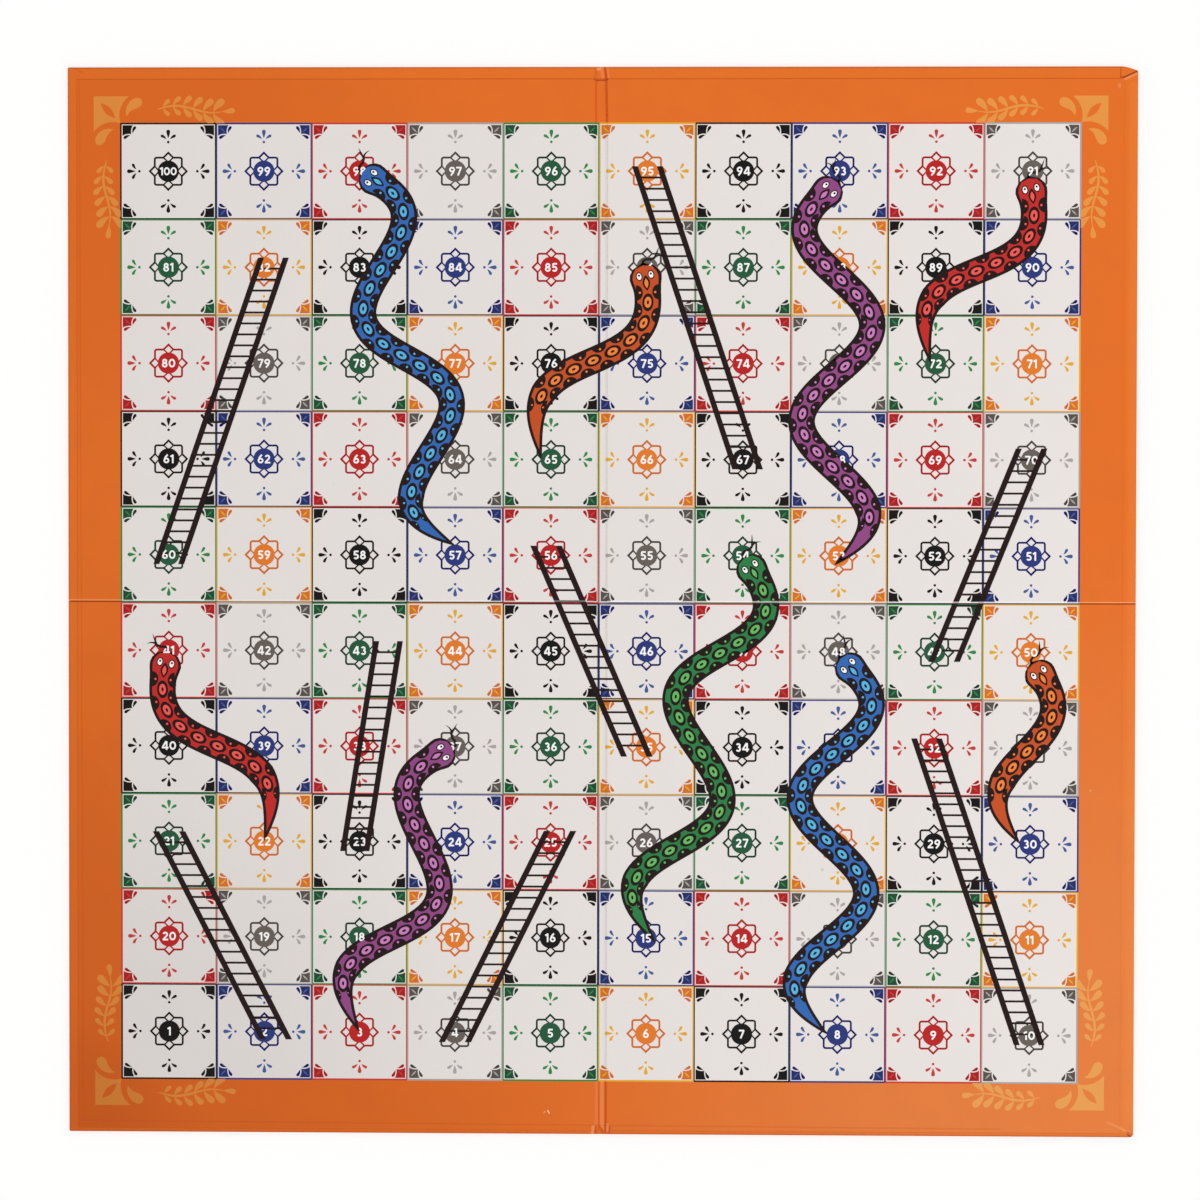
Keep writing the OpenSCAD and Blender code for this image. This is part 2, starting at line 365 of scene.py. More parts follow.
def ellipse(middle: Point, along: Point, aside: Point, corners: int = 20) -> Polygon:
    """An ellipse with its two half axes given as vectors."""
    points = []
    for i in range(corners):
        a = math.tau * i / corners
        c, s = math.cos(a), math.sin(a)
        points.append(
            (middle[0] + along[0] * c + aside[0] * s, middle[1] + along[1] * c + aside[1] * s)
        )
    return points


def lens(start: Point, end: Point, half_width: float, steps: int = 8) -> Polygon:
    """A shape that is pointed at both ends and widest in the middle."""
    dx, dy = end[0] - start[0], end[1] - start[1]
    length = math.hypot(dx, dy)
    nx, ny = -dy / length * half_width, dx / length * half_width
    there = [(i / steps, math.sin(math.pi * i / steps)) for i in range(steps + 1)]
    left = [(start[0] + dx * t + nx * w, start[1] + dy * t + ny * w) for t, w in there]
    right = [(start[0] + dx * t - nx * w, start[1] + dy * t - ny * w) for t, w in there[1:-1]]
    return left + right[::-1]


def petal(tip: Point, bend: Point, end: Point, half_width: float) -> Polygon:
    """A teardrop along a curved line, pointed at its tip and round at its end.

    Args:
        tip: The pointed end.
        bend: The point that the middle of the line leans towards.
        end: The round end.
        half_width: Half the width where the petal is widest.

    Returns:
        The outline of the petal.
    """
    stations = (0.0, 0.2, 0.4, 0.6, 0.74, 0.84, 0.91, 0.96, 0.99, 1.0)
    left, right = [], []
    for t in stations:
        x = (1 - t) ** 2 * tip[0] + 2 * t * (1 - t) * bend[0] + t * t * end[0]
        y = (1 - t) ** 2 * tip[1] + 2 * t * (1 - t) * bend[1] + t * t * end[1]
        dx = (1 - t) * (bend[0] - tip[0]) + t * (end[0] - bend[0])
        dy = (1 - t) * (bend[1] - tip[1]) + t * (end[1] - bend[1])
        length = math.hypot(dx, dy)
        w = half_width * 1.2 * t**0.85 * math.sqrt(max(0.0, 1 - t**5))
        left.append((x - dy / length * w, y + dx / length * w))
        right.append((x + dy / length * w, y - dx / length * w))
    return left + right[-2:0:-1]


def stroke(line: Sequence[Point], width: float, closed: bool = False) -> list[Polygon]:
    """A line of even width, as four-cornered pieces with mitred joints.

    Args:
        line: Points along the middle of the line.
        width: Width of the line.
        closed: Whether the last point joins the first.

    Returns:
        One polygon for each stretch of the line.
    """
    count = len(line)
    sides: list[tuple[Point, Point]] = []
    for i, (x, y) in enumerate(line):
        before = line[i - 1] if closed or i > 0 else None
        after = line[(i + 1) % count] if closed or i < count - 1 else None
        ways = []
        for a, b in ((before, (x, y)), ((x, y), after)):
            if a is not None and b is not None:
                length = math.hypot(b[0] - a[0], b[1] - a[1])
                ways.append(((b[0] - a[0]) / length, (b[1] - a[1]) / length))
        wx, wy = sum(w[0] for w in ways), sum(w[1] for w in ways)
        length = math.hypot(wx, wy)
        wx, wy = wx / length, wy / length
        reach = width / 2 / max(0.35, wx * ways[0][0] + wy * ways[0][1])
        sides.append(((x - wy * reach, y + wx * reach), (x + wy * reach, y - wx * reach)))
    last = count if closed else count - 1
    return [
        [sides[i][1], sides[(i + 1) % count][1], sides[(i + 1) % count][0], sides[i][0]]
        for i in range(last)
    ]


def rectangle(low: Point, high: Point) -> Polygon:
    """An upright rectangle between two corners."""
    return [low, (high[0], low[1]), high, (low[0], high[1])]


# Meshes


@dataclass(frozen=True)
class BakeMap:
    """How a film spreads over its bake map: its faces on the left, its edges in strips beside."""

    name: str = "OFBake"
    rim: float = 0.005
    faces_wide: float = 0.955
    faces_high: float = 0.99
    strips_from: float = 0.97
    strip_step: float = 0.005
    strip_wide: float = 0.0035
    strip_least: float = 0.002
    strips: int = 6


BAKE_MAP = BakeMap()


class MeshDraft:
    """Collects welded corners and faces, and turns them into one object."""

    welds_per_mm = 20000

    def __init__(self) -> None:
        """Starts with no corners."""
        self.corners: list[Spot] = []
        self.found: dict[tuple[int, int, int], int] = {}
        self.faces: list[list[int]] = []
        self.slots: list[int] = []
        self.maps: list[list[Point]] = []

    def corner(self, x: float, y: float, z: float) -> int:
        """Index of a corner, made if there is none at that place yet."""
        welds = self.welds_per_mm
        key = (round(x * welds), round(y * welds), round(z * welds))
        if key not in self.found:
            self.found[key] = len(self.corners)
            self.corners.append((x * MM, y * MM, z * MM))
        return self.found[key]

    def face(self, ring: Iterable[int], slot: int = 0, bake: Sequence[Point] | None = None) -> None:
        """Adds a face, leaving out corners that fell together.

        Args:
            ring: Indices of the corners, in order.
            slot: Material slot of the face.
            bake: Places on the bake map, one for each corner.
        """
        kept: list[int] = []
        spots: list[Point] = []
        for i, k in enumerate(ring):
            if k not in kept:
                kept.append(k)
                spots.append(bake[i] if bake else (0.0, 0.0))
        if len(kept) > 2:
            self.faces.append(kept)
            self.slots.append(slot)
            self.maps.append(spots)

    def grid(self, columns: int, rows: int, where: Where) -> None:
        """Adds a grid of faces.

        Args:
            columns: Corners along the first direction.
            rows: Corners along the second direction.
            where: Gives the corner at a column and a row, in millimetres.
        """
        ids = [[self.corner(*where(i, j)) for i in range(columns)] for j in range(rows)]
        for j in range(rows - 1):
            for i in range(columns - 1):
                self.face((ids[j][i], ids[j][i + 1], ids[j + 1][i + 1], ids[j + 1][i]))

    def slab(self, columns: int, rows: int, upper: Where, under: Where) -> None:
        """Adds a closed sheet between two grids.

        Args:
            columns: Corners across the sheet.
            rows: Corners along the sheet.
            upper: Gives a corner of its upper side.
            under: Gives a corner of its underside.
        """
        right, top = columns - 1, rows - 1
        self.grid(columns, rows, upper)
        self.grid(columns, rows, lambda i, j: under(right - i, j))
        self.grid(2, rows, lambda i, j: (under, upper)[i](0, j))
        self.grid(2, rows, lambda i, j: (upper, under)[i](right, j))
        self.grid(columns, 2, lambda i, j: (under, upper)[j](i, 0))
        self.grid(columns, 2, lambda i, j: (upper, under)[j](i, top))

    def film(
        self,
        shapes: Iterable[Polygon],
        region: Region,
        low: float,
        high: float,
        slot: int = 0,
        lift: Lift | None = None,
    ) -> None:
        """Adds a closed film over flat shapes that don't overlap.

        Args:
            shapes: Polygons, each running anticlockwise.
            region: The rectangle that the bake map spreads over.
            low: Height of the film's underside.
            high: Height of its top.
            slot: Material slot of the faces.
            lift: Height added at a place, for a film on a sagging sheet.
        """
        tops: list[list[Point]] = []
        edges: dict[tuple[Point, Point], bool] = {}
        for shape in shapes:
            ring: list[Point] = []
            for x, y in shape:
                spot = (round(x, 4), round(y, 4))
                if spot not in ring:
                    ring.append(spot)
            if len(ring) > 2:
                tops.append(ring)
                for i, spot in enumerate(ring):
                    edges[(ring[i - 1], spot)] = True
        width = region.high_x - region.low_x
        depth = region.high_y - region.low_y
        near = BAKE_MAP.strips_from + BAKE_MAP.strip_step * (slot % BAKE_MAP.strips)
        far = near + BAKE_MAP.strip_wide

        def spread(spot: Point) -> Point:
            u = BAKE_MAP.rim + BAKE_MAP.faces_wide * (spot[0] - region.low_x) / width
            return u, BAKE_MAP.rim + BAKE_MAP.faces_high * (spot[1] - region.low_y) / depth

        def at(spot: Point, z: float) -> int:
            return self.corner(*spot, z + (lift(*spot) if lift else 0.0))

        for ring in tops:
            bake = [spread(spot) for spot in ring]
            self.face([at(spot, high) for spot in ring], slot, bake)
            self.face([at(spot, low) for spot in ring[::-1]], slot, bake[::-1])
        for a, b in edges:
            if (b, a) not in edges:
                va, vb = spread(a)[1], spread(b)[1] + BAKE_MAP.strip_least
                bake = [(near, va), (near, vb), (far, vb), (far, va)]
                self.face((at(a, low), at(b, low), at(b, high), at(a, high)), slot, bake)

    def build(
        self,
        name: str,
        looks: Sequence[bpy.types.Material],
        mapped: bool = False,
        closed: bool = False,
    ) -> bpy.types.Object:
        """Makes the object and links it to the scene.

        Args:
            name: Name of the object.
            looks: Its materials, one for each slot.
            mapped: Whether the faces carry places on the bake map.
            closed: Whether the faces close one body, and are turned to face outwards.

        Returns:
            The new object, at the origin.
        """
        mesh = bpy.data.meshes.new(name)
        mesh.from_pydata(self.corners, [], self.faces)
        mesh.polygons.foreach_set("material_index", self.slots)
        if mapped:
            layer = mesh.uv_layers.new(name=BAKE_MAP.name)
            flat = [c for spots in self.maps for spot in spots for c in spot]
            layer.data.foreach_set("uv", flat)
        if closed:
            shell = bmesh.new()
            shell.from_mesh(mesh)
            bmesh.ops.recalc_face_normals(shell, faces=shell.faces)
            shell.to_mesh(mesh)
            shell.free()
        for look in looks:
            mesh.materials.append(look)
        mesh.update()
        piece = bpy.data.objects.new(name, mesh)
        bpy.context.scene.collection.objects.link(piece)
        return piece


def smooth(piece: bpy.types.Object, angle: float) -> None:
    """Shades a piece smooth, but for edges sharper than an angle in degrees."""
    mesh = piece.data
    mesh.shade_smooth()
    mesh.set_sharp_from_angle(angle=math.radians(angle))


# Shader node groups that several materials share


class NodePen:
    """Adds nodes to a tree and links them."""

    def __init__(self, tree: bpy.types.NodeTree) -> None:
        """Keeps the tree."""
        self.tree = tree

    def node(self, kind: str, **settings: object) -> bpy.types.Node:
        """Adds a node and sets its plain properties."""
        made = self.tree.nodes.new(kind)
        for key, value in settings.items():
            setattr(made, key, value)
        return made

    def link(self, source: Socket, target: Socket) -> None:
        """Links two sockets."""
        self.tree.links.new(source, target)

    def feed(self, target: Socket, value: object) -> None:
        """Sets a socket to a number, or links it where a socket is given."""
        if isinstance(value, Socket):
            self.link(value, target)
        else:
            target.default_value = value

    def maths(self, operation: str, *values: object, clamp: bool = False) -> Socket:
        """One step of arithmetic on numbers or sockets."""
        made = self.node("ShaderNodeMath", operation=operation, use_clamp=clamp)
        for i, value in enumerate(values):
            self.feed(made.inputs[i], value)
        return made.outputs[0]

    def vector(self, operation: str, *values: object, out: str = "Vector") -> Socket:
        """One step of arithmetic on vectors."""
        made = self.node("ShaderNodeVectorMath", operation=operation)
        for i, value in enumerate(values):
            self.feed(made.inputs[i], value)
        return made.outputs[out]

    def noise(self, vector: Socket, scale: object, detail: float, rough: float) -> Socket:
        """A noise texture's value."""
        made = self.node("ShaderNodeTexNoise")
        self.link(vector, made.inputs["Vector"])
        self.feed(made.inputs["Scale"], scale)
        made.inputs["Detail"].default_value = detail
        made.inputs["Roughness"].default_value = rough
        return made.outputs["Fac"]

    def ramp(self, value: Socket, low: object, high: object) -> Socket:
        """A smooth step from 0 at low to 1 at high."""
        made = self.node("ShaderNodeMapRange", interpolation_type="SMOOTHSTEP")
        self.link(value, made.inputs["Value"])
        self.feed(made.inputs["From Min"], low)
        self.feed(made.inputs["From Max"], high)
        return made.outputs["Result"]

    def blend(self, mask: object, first: object, second: object, mode: str = "MIX") -> Socket:
        """A mix of two colours."""
        made = self.node("ShaderNodeMix", data_type="RGBA", blend_type=mode)
        self.feed(made.inputs[0], mask)
        self.feed(made.inputs[6], first)
        self.feed(made.inputs[7], second)
        return made.outputs[2]


class Effect:
    """A node group with named inputs and outputs, built once."""

    name = "effect"
    takes: dict[str, object] = {}
    gives: tuple[str, ...] = ()

    def __init__(self) -> None:
        """Makes the group and its sockets, then draws its nodes."""
        self.tree = bpy.data.node_groups.new(self.name, "ShaderNodeTree")
        for label, value in self.takes.items():
            kind = "NodeSocketVector" if isinstance(value, tuple) else "NodeSocketFloat"
            made = self.tree.interface.new_socket(label, in_out="INPUT", socket_type=kind)
            made.default_value = value
        for label in self.gives:
            self.tree.interface.new_socket(label, in_out="OUTPUT", socket_type="NodeSocketFloat")
        pen = NodePen(self.tree)
        inputs = pen.node("NodeGroupInput").outputs
        outputs = pen.node("NodeGroupOutput").inputs
        for label, socket in self.draw(pen, inputs).items():
            pen.link(socket, outputs[label])

    def draw(self, pen: NodePen, inputs: bpy.types.NodeOutputs) -> dict[str, Socket]:
        """Draws the group's nodes.

        Args:
            pen: Draws in the group's tree.
            inputs: The group's inputs, by name.

        Returns:
            The socket for each output, by name.
        """
        raise NotImplementedError

    def put(self, pen: NodePen, **values: object) -> bpy.types.NodeOutputs:
        """Places the group in a material with its own values.

        Args:
            pen: Draws in the material's tree.
            **values: Inputs by name, with spaces written as underscores.

        Returns:
            The outputs of the placed group.
        """
        made = pen.node("ShaderNodeGroup", node_tree=self.tree)
        for label, value in values.items():
            pen.feed(made.inputs[label.replace("_", " ")], value)
        return made.outputs


class PaperFibre(Effect):
    """Fine fibre of paper under its varnish, and a soft mottle of tone."""

    name = "paper fibre"
    takes = {"Scale": 900.0, "Mottle Scale": 60.0}
    gives = ("Height", "Mottle")

    def draw(self, pen: NodePen, inputs: bpy.types.NodeOutputs) -> dict[str, Socket]:
        """Two noises, one stretched along the run of the paper."""
        place = pen.node("ShaderNodeTexCoord").outputs["Object"]
        along = pen.vector("MULTIPLY", place, (1.0, 0.35, 1.0))
        fine = pen.noise(along, inputs["Scale"], 3.0, 0.6)
        cloud = pen.noise(place, inputs["Mottle Scale"], 4.0, 0.55)
        return {"Height": fine, "Mottle": cloud}


class SeamLine(Effect):
    """A mask along a straight line on the board's upper side, with a ragged edge."""

    name = "seam line"
    takes = {"Start": (0.0, 0.0, 0.0), "End": (1.0, 0.0, 0.0), "Width": 0.0004, "Waver": 0.3}
    gives = ("Mask",)

    def draw(self, pen: NodePen, inputs: bpy.types.NodeOutputs) -> dict[str, Socket]:
        """Distance to the line, faded over the width, and none low on the board."""
        place = pen.node("ShaderNodeTexCoord").outputs["Object"]
        flat = pen.vector("MULTIPLY", place, (1.0, 1.0, 0.0))
        way = pen.vector("SUBTRACT", inputs["End"], inputs["Start"])
        from_start = pen.vector("SUBTRACT", flat, inputs["Start"])
        along = pen.maths(
            "DIVIDE",
            pen.vector("DOT_PRODUCT", from_start, way, out="Value"),
            pen.vector("DOT_PRODUCT", way, way, out="Value"),
            clamp=True,
        )
        scaled = pen.node("ShaderNodeVectorMath", operation="SCALE")
        pen.link(way, scaled.inputs[0])
        pen.link(along, scaled.inputs["Scale"])
        off = pen.vector("SUBTRACT", from_start, scaled.outputs[0])
        far = pen.vector("LENGTH", off, out="Value")
        ragged = pen.noise(flat, 900.0, 2.0, 0.6)
        shift = pen.maths("MULTIPLY", pen.maths("SUBTRACT", ragged, 0.5), inputs["Waver"])
        reach = pen.maths("MULTIPLY", inputs["Width"], pen.maths("ADD", 1.0, shift))
        share = pen.maths("DIVIDE", far, reach)
        parts = pen.node("ShaderNodeSeparateXYZ")
        pen.link(place, parts.inputs[0])
        upper = pen.ramp(parts.outputs["Z"], 0.0007, 0.0012)
        mask = pen.maths("SUBTRACT", 1.0, pen.ramp(share, 0.25, 1.0))
        return {"Mask": pen.maths("MULTIPLY", mask, upper)}


class PanelTone(Effect):
    """Painted light: brightness that rises slowly across the board from left to right, as light falls on
    it, with a slow random mottle of tone.
    """

    name = "panel tone"
    takes = {"Slope X": 0.048, "Slope Y": 0.0, "Twist": 0.0}
    gives = ("Tone",)

    def draw(self, pen: NodePen, inputs: bpy.types.NodeOutputs) -> dict[str, Socket]:
        """Two slopes and their product, with a slow noise added."""
        place = pen.node("ShaderNodeTexCoord").outputs["Object"]
        parts = pen.node("ShaderNodeSeparateXYZ")
        pen.link(pen.vector("DIVIDE", place, (0.162, 0.162, 1.0)), parts.inputs[0])
        x, y = parts.outputs["X"], parts.outputs["Y"]
        cloud = pen.noise(place, 9.0, 2.0, 0.5)
        total = pen.maths("MULTIPLY_ADD", cloud, 0.02, 0.99)
        total = pen.maths("MULTIPLY_ADD", x, inputs["Slope X"], total)
        total = pen.maths("MULTIPLY_ADD", y, inputs["Slope Y"], total)
        both = pen.maths("MULTIPLY", x, y)
        return {"Tone": pen.maths("MULTIPLY_ADD", both, inputs["Twist"], total)}


class Specks(Effect):
    """Small scuffs and specks, scattered thinly."""

    name = "specks"
    takes = {"Scale": 120.0, "Amount": 0.08}
    gives = ("Mask",)

    def draw(self, pen: NodePen, inputs: bpy.types.NodeOutputs) -> dict[str, Socket]:
        """Cells of which a few hold a small spot."""
        place = pen.node("ShaderNodeTexCoord").outputs["Object"]
        cells = pen.node("ShaderNodeTexVoronoi", feature="F1")
        pen.link(place, cells.inputs["Vector"])
        pen.link(inputs["Scale"], cells.inputs["Scale"])
        parts = pen.node("ShaderNodeSeparateColor")
        pen.link(cells.outputs["Color"], parts.inputs[0])
        chosen = pen.maths("LESS_THAN", parts.outputs[0], inputs["Amount"])
        size = pen.maths("MULTIPLY_ADD", parts.outputs[1], 0.09, 0.03)
        spot = pen.maths("SUBTRACT", 1.0, pen.ramp(cells.outputs["Distance"], 0.01, size))
        return {"Mask": pen.maths("MULTIPLY", chosen, spot)}


@dataclass
class Effects:
    """The node groups, built once."""

    fibre: PaperFibre = field(default_factory=PaperFibre)
    seam: SeamLine = field(default_factory=SeamLine)
    # Painted light across the board, with a random mottle of tone.
    tone: PanelTone = field(default_factory=PanelTone)
    specks: Specks = field(default_factory=Specks)


# Finishes


def linear(colour: Screen) -> tuple[float, float, float, float]:
    """A screen colour, 0 to 255, as a shader colour."""
    parts = []
    for c in colour:
        s = c / 255
        parts.append(s / 12.92 if s <= 0.04045 else ((s + 0.055) / 1.055) ** 2.4)
    return parts[0], parts[1], parts[2], 1.0


@dataclass(frozen=True)
class Mark:
    """A line of wear, shade or light on a finish, in millimetres, with its own colour."""

    start: Point
    end: Point
    width: float
    colour: Screen
    strength: float = 0.8
    waver: float = 0.6
    dent: float = 0.0
    mode: str = "MIX"

    def mask(self, effects: Effects, pen: NodePen) -> Socket:
        """Places the seam group for this line, times its strength."""
        line_mask = effects.seam.put(
            pen,
            Start=(self.start[0] * MM, self.start[1] * MM, 0.0),
            End=(self.end[0] * MM, self.end[1] * MM, 0.0),
            Width=self.width * MM,
            Waver=self.waver,
        )["Mask"]
        return pen.maths("MULTIPLY", line_mask, self.strength)


def fold_marks(left: Screen, right: Screen, strength: float) -> tuple[Mark, ...]:
    """Painted shade in the two creases that the folds have pressed into the sheet, which are also dented.
    """
    low, lean, high = -PLAN.half, CHANNEL.lean_from, PLAN.half
    ends = (
        ((CHANNEL.left(low), low), (CHANNEL.left(high), high), 0.6, left),
        ((CHANNEL.right(low), low), (CHANNEL.right(lean), lean), 0.75, right),
        ((CHANNEL.right(lean), lean), (CHANNEL.right(high), high), 0.75, right),
    )
    return tuple(Mark(a, b, width, colour, strength, 0.4, 1.0) for a, b, width, colour in ends)


def cut_marks(worn_highlight: Screen, shade: Screen, cut: float, butt: float) -> tuple[Mark, ...]:
    """Painted highlight and wear along the cut on the right and the butt on the left, with painted shade in
    the gap below each.

    Args:
        worn_highlight: Colour of the worn, pale edge above the line, with the painted highlight where it
            catches the light.
        shade: Colour of the painted shade in the gap below it.
        cut: Strength along the cut.
        butt: Strength along the butt.

    Returns:
        The four lines.
    """
    far = PLAN.half
    return (
        Mark((2.8, 0.24), (far, 0.24), 0.5, worn_highlight, cut, 0.9),
        Mark((2.8, -0.13), (far, -0.13), 0.42, shade, cut, 0.5),
        Mark((-far, 0.42), (-2.8, 0.42), 0.45, worn_highlight, butt * 0.8, 0.6),
        Mark((-far, -0.1), (-2.8, -0.1), 0.42, shade, butt, 0.4),
    )


def corner_marks(shade_share: float) -> tuple[Mark, ...]:
    """Painted shade over the left corners, the lower one most, and a painted sheen over the lower right
    one.
    """
    shade_brown = (224, 199, 155)
    low_left, high_left = (-200.0, -199.0), (-200.0, 199.0)
    return (
        Mark((-199.0, -200.0), low_left, 240.0, shade_brown, 0.46 * shade_share, 0.1, mode="MULTIPLY"),
        Mark((-199.0, -200.0), low_left, 55.0, shade_brown, 0.43 * shade_share, 0.1, mode="MULTIPLY"),
        Mark((-199.0, 200.0), high_left, 170.0, shade_brown, 0.36 * shade_share, 0.1, mode="MULTIPLY"),
        # painted sheen over the lower right corner
        Mark((199.0, -200.0), (200.0, -199.0), 240.0, (220, 234, 176), 0.066, 0.1),
    )


def pucker_marks() -> tuple[Mark, ...]:
    """Small puckers where the covering paper turns in over the lower end of the channel: painted highlights
    on their ridges and painted shade in their hollows, with dents.
    """
    light, dark = (242, 150, 94), (190, 72, 18)
    return (
        Mark((-1.1, -180.4), (-1.2, -197.0), 0.9, light, 0.25, 0.5),
        Mark((0.9, -180.4), (0.9, -196.6), 1.2, light, 0.45, 0.5),
        Mark((-2.3, -197.0), (-2.7, -199.8), 0.9, light, 0.7, 0.8),
        Mark((-1.4, -196.9), (-1.6, -199.7), 0.55, dark, 0.75, 0.8, 1.0),
        Mark((0.1, -197.1), (1.3, -199.5), 0.5, dark, 0.6, 0.8, 1.0),
        Mark((1.2, -196.4), (1.9, -198.2), 0.55, light, 0.55, 0.8),
        Mark((1.9, -196.8), (2.3, -199.6), 0.5, dark, 0.7, 0.8, 1.0),
        Mark((3.0, -196.3), (3.0, -198.6), 0.7, light, 0.6, 0.8),
        Mark((3.8, -197.0), (3.6, -199.7), 0.55, dark, 0.7, 0.8, 1.0),
    )


def lip_marks() -> tuple[Mark, ...]:
    """The curled lip where the printed sheet ends over the upper end of the channel: painted shade along
    the sheet's sagging end and in its creases, and painted highlights on its bumps.
    """
    dark = (158, 54, 14)
    return (
        Mark((-2.6, 195.3), (-1.3, 194.98), 0.42, dark, 0.8, 0.4, 1.0),
        Mark((-1.3, 194.98), (1.2, 194.98), 0.42, dark, 0.8, 0.4, 1.0),
        Mark((1.2, 194.98), (2.5, 195.3), 0.42, dark, 0.8, 0.4, 1.0),
        Mark((-1.95, 195.6), (-1.9, 200.0), 0.9, (205, 92, 34), 0.55, 0.6, 1.0),
        Mark((1.95, 195.4), (1.45, 200.0), 0.55, (178, 62, 18), 0.85, 0.5, 1.0),
        Mark((-1.2, 199.2), (-0.4, 199.3), 0.8, (250, 168, 116), 0.65, 0.8),
        Mark((0.6, 196.2), (0.3, 199.6), 0.8, (244, 142, 84), 0.4, 0.6),
        Mark((2.9, 196.0), (2.3, 199.8), 0.6, (244, 142, 84), 0.35, 0.6),
    )


def scuff_marks() -> tuple[Mark, ...]:
    """Small scuffs and a pale blemish in the margin, faint dark lines of seams pressed through it inside
    the sheet's left and lower edges, and a painted highlight along a crease near the lower right corner.
    """
    light, dark = (250, 206, 176), (186, 78, 24)
    return (
        Mark((-19.4, -191.2), (-18.9, -192.1), 0.36, light, 0.9, 0.8),
        Mark((-20.6, -191.6), (-20.9, -191.9), 0.3, light, 0.5, 0.8),
        Mark((193.0, 192.5), (193.0, 193.1), 0.9, (246, 150, 96), 0.4, 0.6),
        Mark((-194.6, -196.0), (-195.6, 196.0), 0.4, dark, 0.3, 0.6),
        Mark((-195.0, -195.8), (150.0, -197.2), 0.45, dark, 0.3, 0.6),
        # painted highlight along a crease near the lower right corner
        Mark((190.4, -194.4), (196.8, -197.4), 0.6, (240, 156, 104), 0.4, 0.8),
    )


# Bare white paper: painted shade at the lower left corner and in the creases, and painted highlight and
# shade along the cut and the butt.
PAPER_MARKS = (
    Mark((-199.0, -200.0), (-200.0, -199.0), 190.0, (224, 224, 224), 0.36, 0.1, mode="MULTIPLY"),
    *fold_marks((205, 198, 192), (198, 190, 182), 0.35),
    *cut_marks((250, 249, 248), (126, 118, 118), 0.9, 0.45),
)
# Orange ground: painted shade and sheen at the corners and in the creases, painted light on the puckers and
# the lip, real scuffs, and painted highlight and shade along the cut and the butt.
GROUND_MARKS = (
    *corner_marks(1.0),
    *fold_marks((214, 84, 12), (194, 72, 18), 0.8),
    *pucker_marks(),
    *lip_marks(),
    *scuff_marks(),
    *cut_marks((249, 158, 93), (150, 44, 6), 0.95, 0.8),
)
# Every ink: faint painted shade in the creases, and painted highlight and shade along the cut and the butt.
INK_MARKS = (
    *fold_marks((40, 34, 34), (40, 34, 34), 0.08),
    *cut_marks((236, 230, 226), (40, 30, 40), 0.6, 0.25),
)


@dataclass(frozen=True)
class PaperFinish:
    """Varnished paper: a colour with fibre, a painted fall of light with a random mottle, specks, and lines
    of wear, painted shade and painted highlight.
    """

    name: str
    colour: Screen
    roughness: float = 0.55
    gloss: float = 0.1
    mottle: float = 0.03
    bump: float = 0.00002
    specks: float = 0.0
    speck_colour: Screen = (238, 226, 214)
    # Painted light: extra slopes of brightness across the board.
    slope: float = 0.0
    twist: float = 0.0
    marks: tuple[Mark, ...] = ()

    def look(self, effects: Effects) -> bpy.types.Material:
        """Makes the material.

        Args:
            effects: The shared node groups.

        Returns:
            The new material.
        """
        look = bpy.data.materials.new(self.name)
        look.use_nodes = True
        tree = look.node_tree
        tree.nodes.clear()
        pen = NodePen(tree)
        shader = pen.node("ShaderNodeBsdfPrincipled")
        shader.inputs["Specular IOR Level"].default_value = self.gloss
        pen.link(shader.outputs[0], pen.node("ShaderNodeOutputMaterial").inputs["Surface"])
        fibre = effects.fibre.put(pen)
        height = fibre["Height"]
        colour: object = linear(self.colour)
        for mark in self.marks:
            mask = mark.mask(effects, pen)
            colour = pen.blend(mask, colour, linear(mark.colour), mark.mode)
            if mark.dent > 0:
                height = pen.maths("MULTIPLY_ADD", mask, -2.0 * mark.dent, height)
        dull = pen.maths("MULTIPLY_ADD", fibre["Mottle"], 0.16, self.roughness - 0.08)
        if self.specks > 0:
            spots = effects.specks.put(pen, Amount=self.specks)["Mask"]
            colour = pen.blend(pen.maths("MULTIPLY", spots, 0.5), colour, linear(self.speck_colour))
            dull = pen.maths("MULTIPLY_ADD", spots, 0.15, dull)
        cloud = pen.maths("MULTIPLY_ADD", fibre["Mottle"], 2 * self.mottle, 1.0 - self.mottle)
        # Painted light: a slow change of brightness across the board, with a random mottle, multiplied into
        # the colour.
        tone = effects.tone.put(pen, Slope_Y=self.slope, Twist=self.twist)["Tone"]
        level = pen.maths("MULTIPLY", tone, cloud)
        grey = pen.node("ShaderNodeCombineColor")
        for i in range(3):
            pen.link(level, grey.inputs[i])
        pen.link(pen.blend(1.0, colour, grey.outputs[0], "MULTIPLY"), shader.inputs["Base Color"])
        pen.link(dull, shader.inputs["Roughness"])
        bump = pen.node("ShaderNodeBump")
        bump.inputs["Strength"].default_value = 0.35
        bump.inputs["Distance"].default_value = self.bump
        pen.link(height, bump.inputs["Height"])
        pen.link(bump.outputs[0], shader.inputs["Normal"])
        return look


def orange_finish(name: str, colour: Screen, marks: tuple[Mark, ...]) -> PaperFinish:
    """The border's finish, whether it is printed or bare covering paper."""
    return PaperFinish(
        name=name,
        colour=colour,
        mottle=0.05,
        specks=0.02,
        speck_colour=(246, 176, 120),
        # Painted light: slopes of brightness across the orange, brightest towards the lower right.
        slope=0.0167,
        twist=-0.023,
        marks=marks,
    )


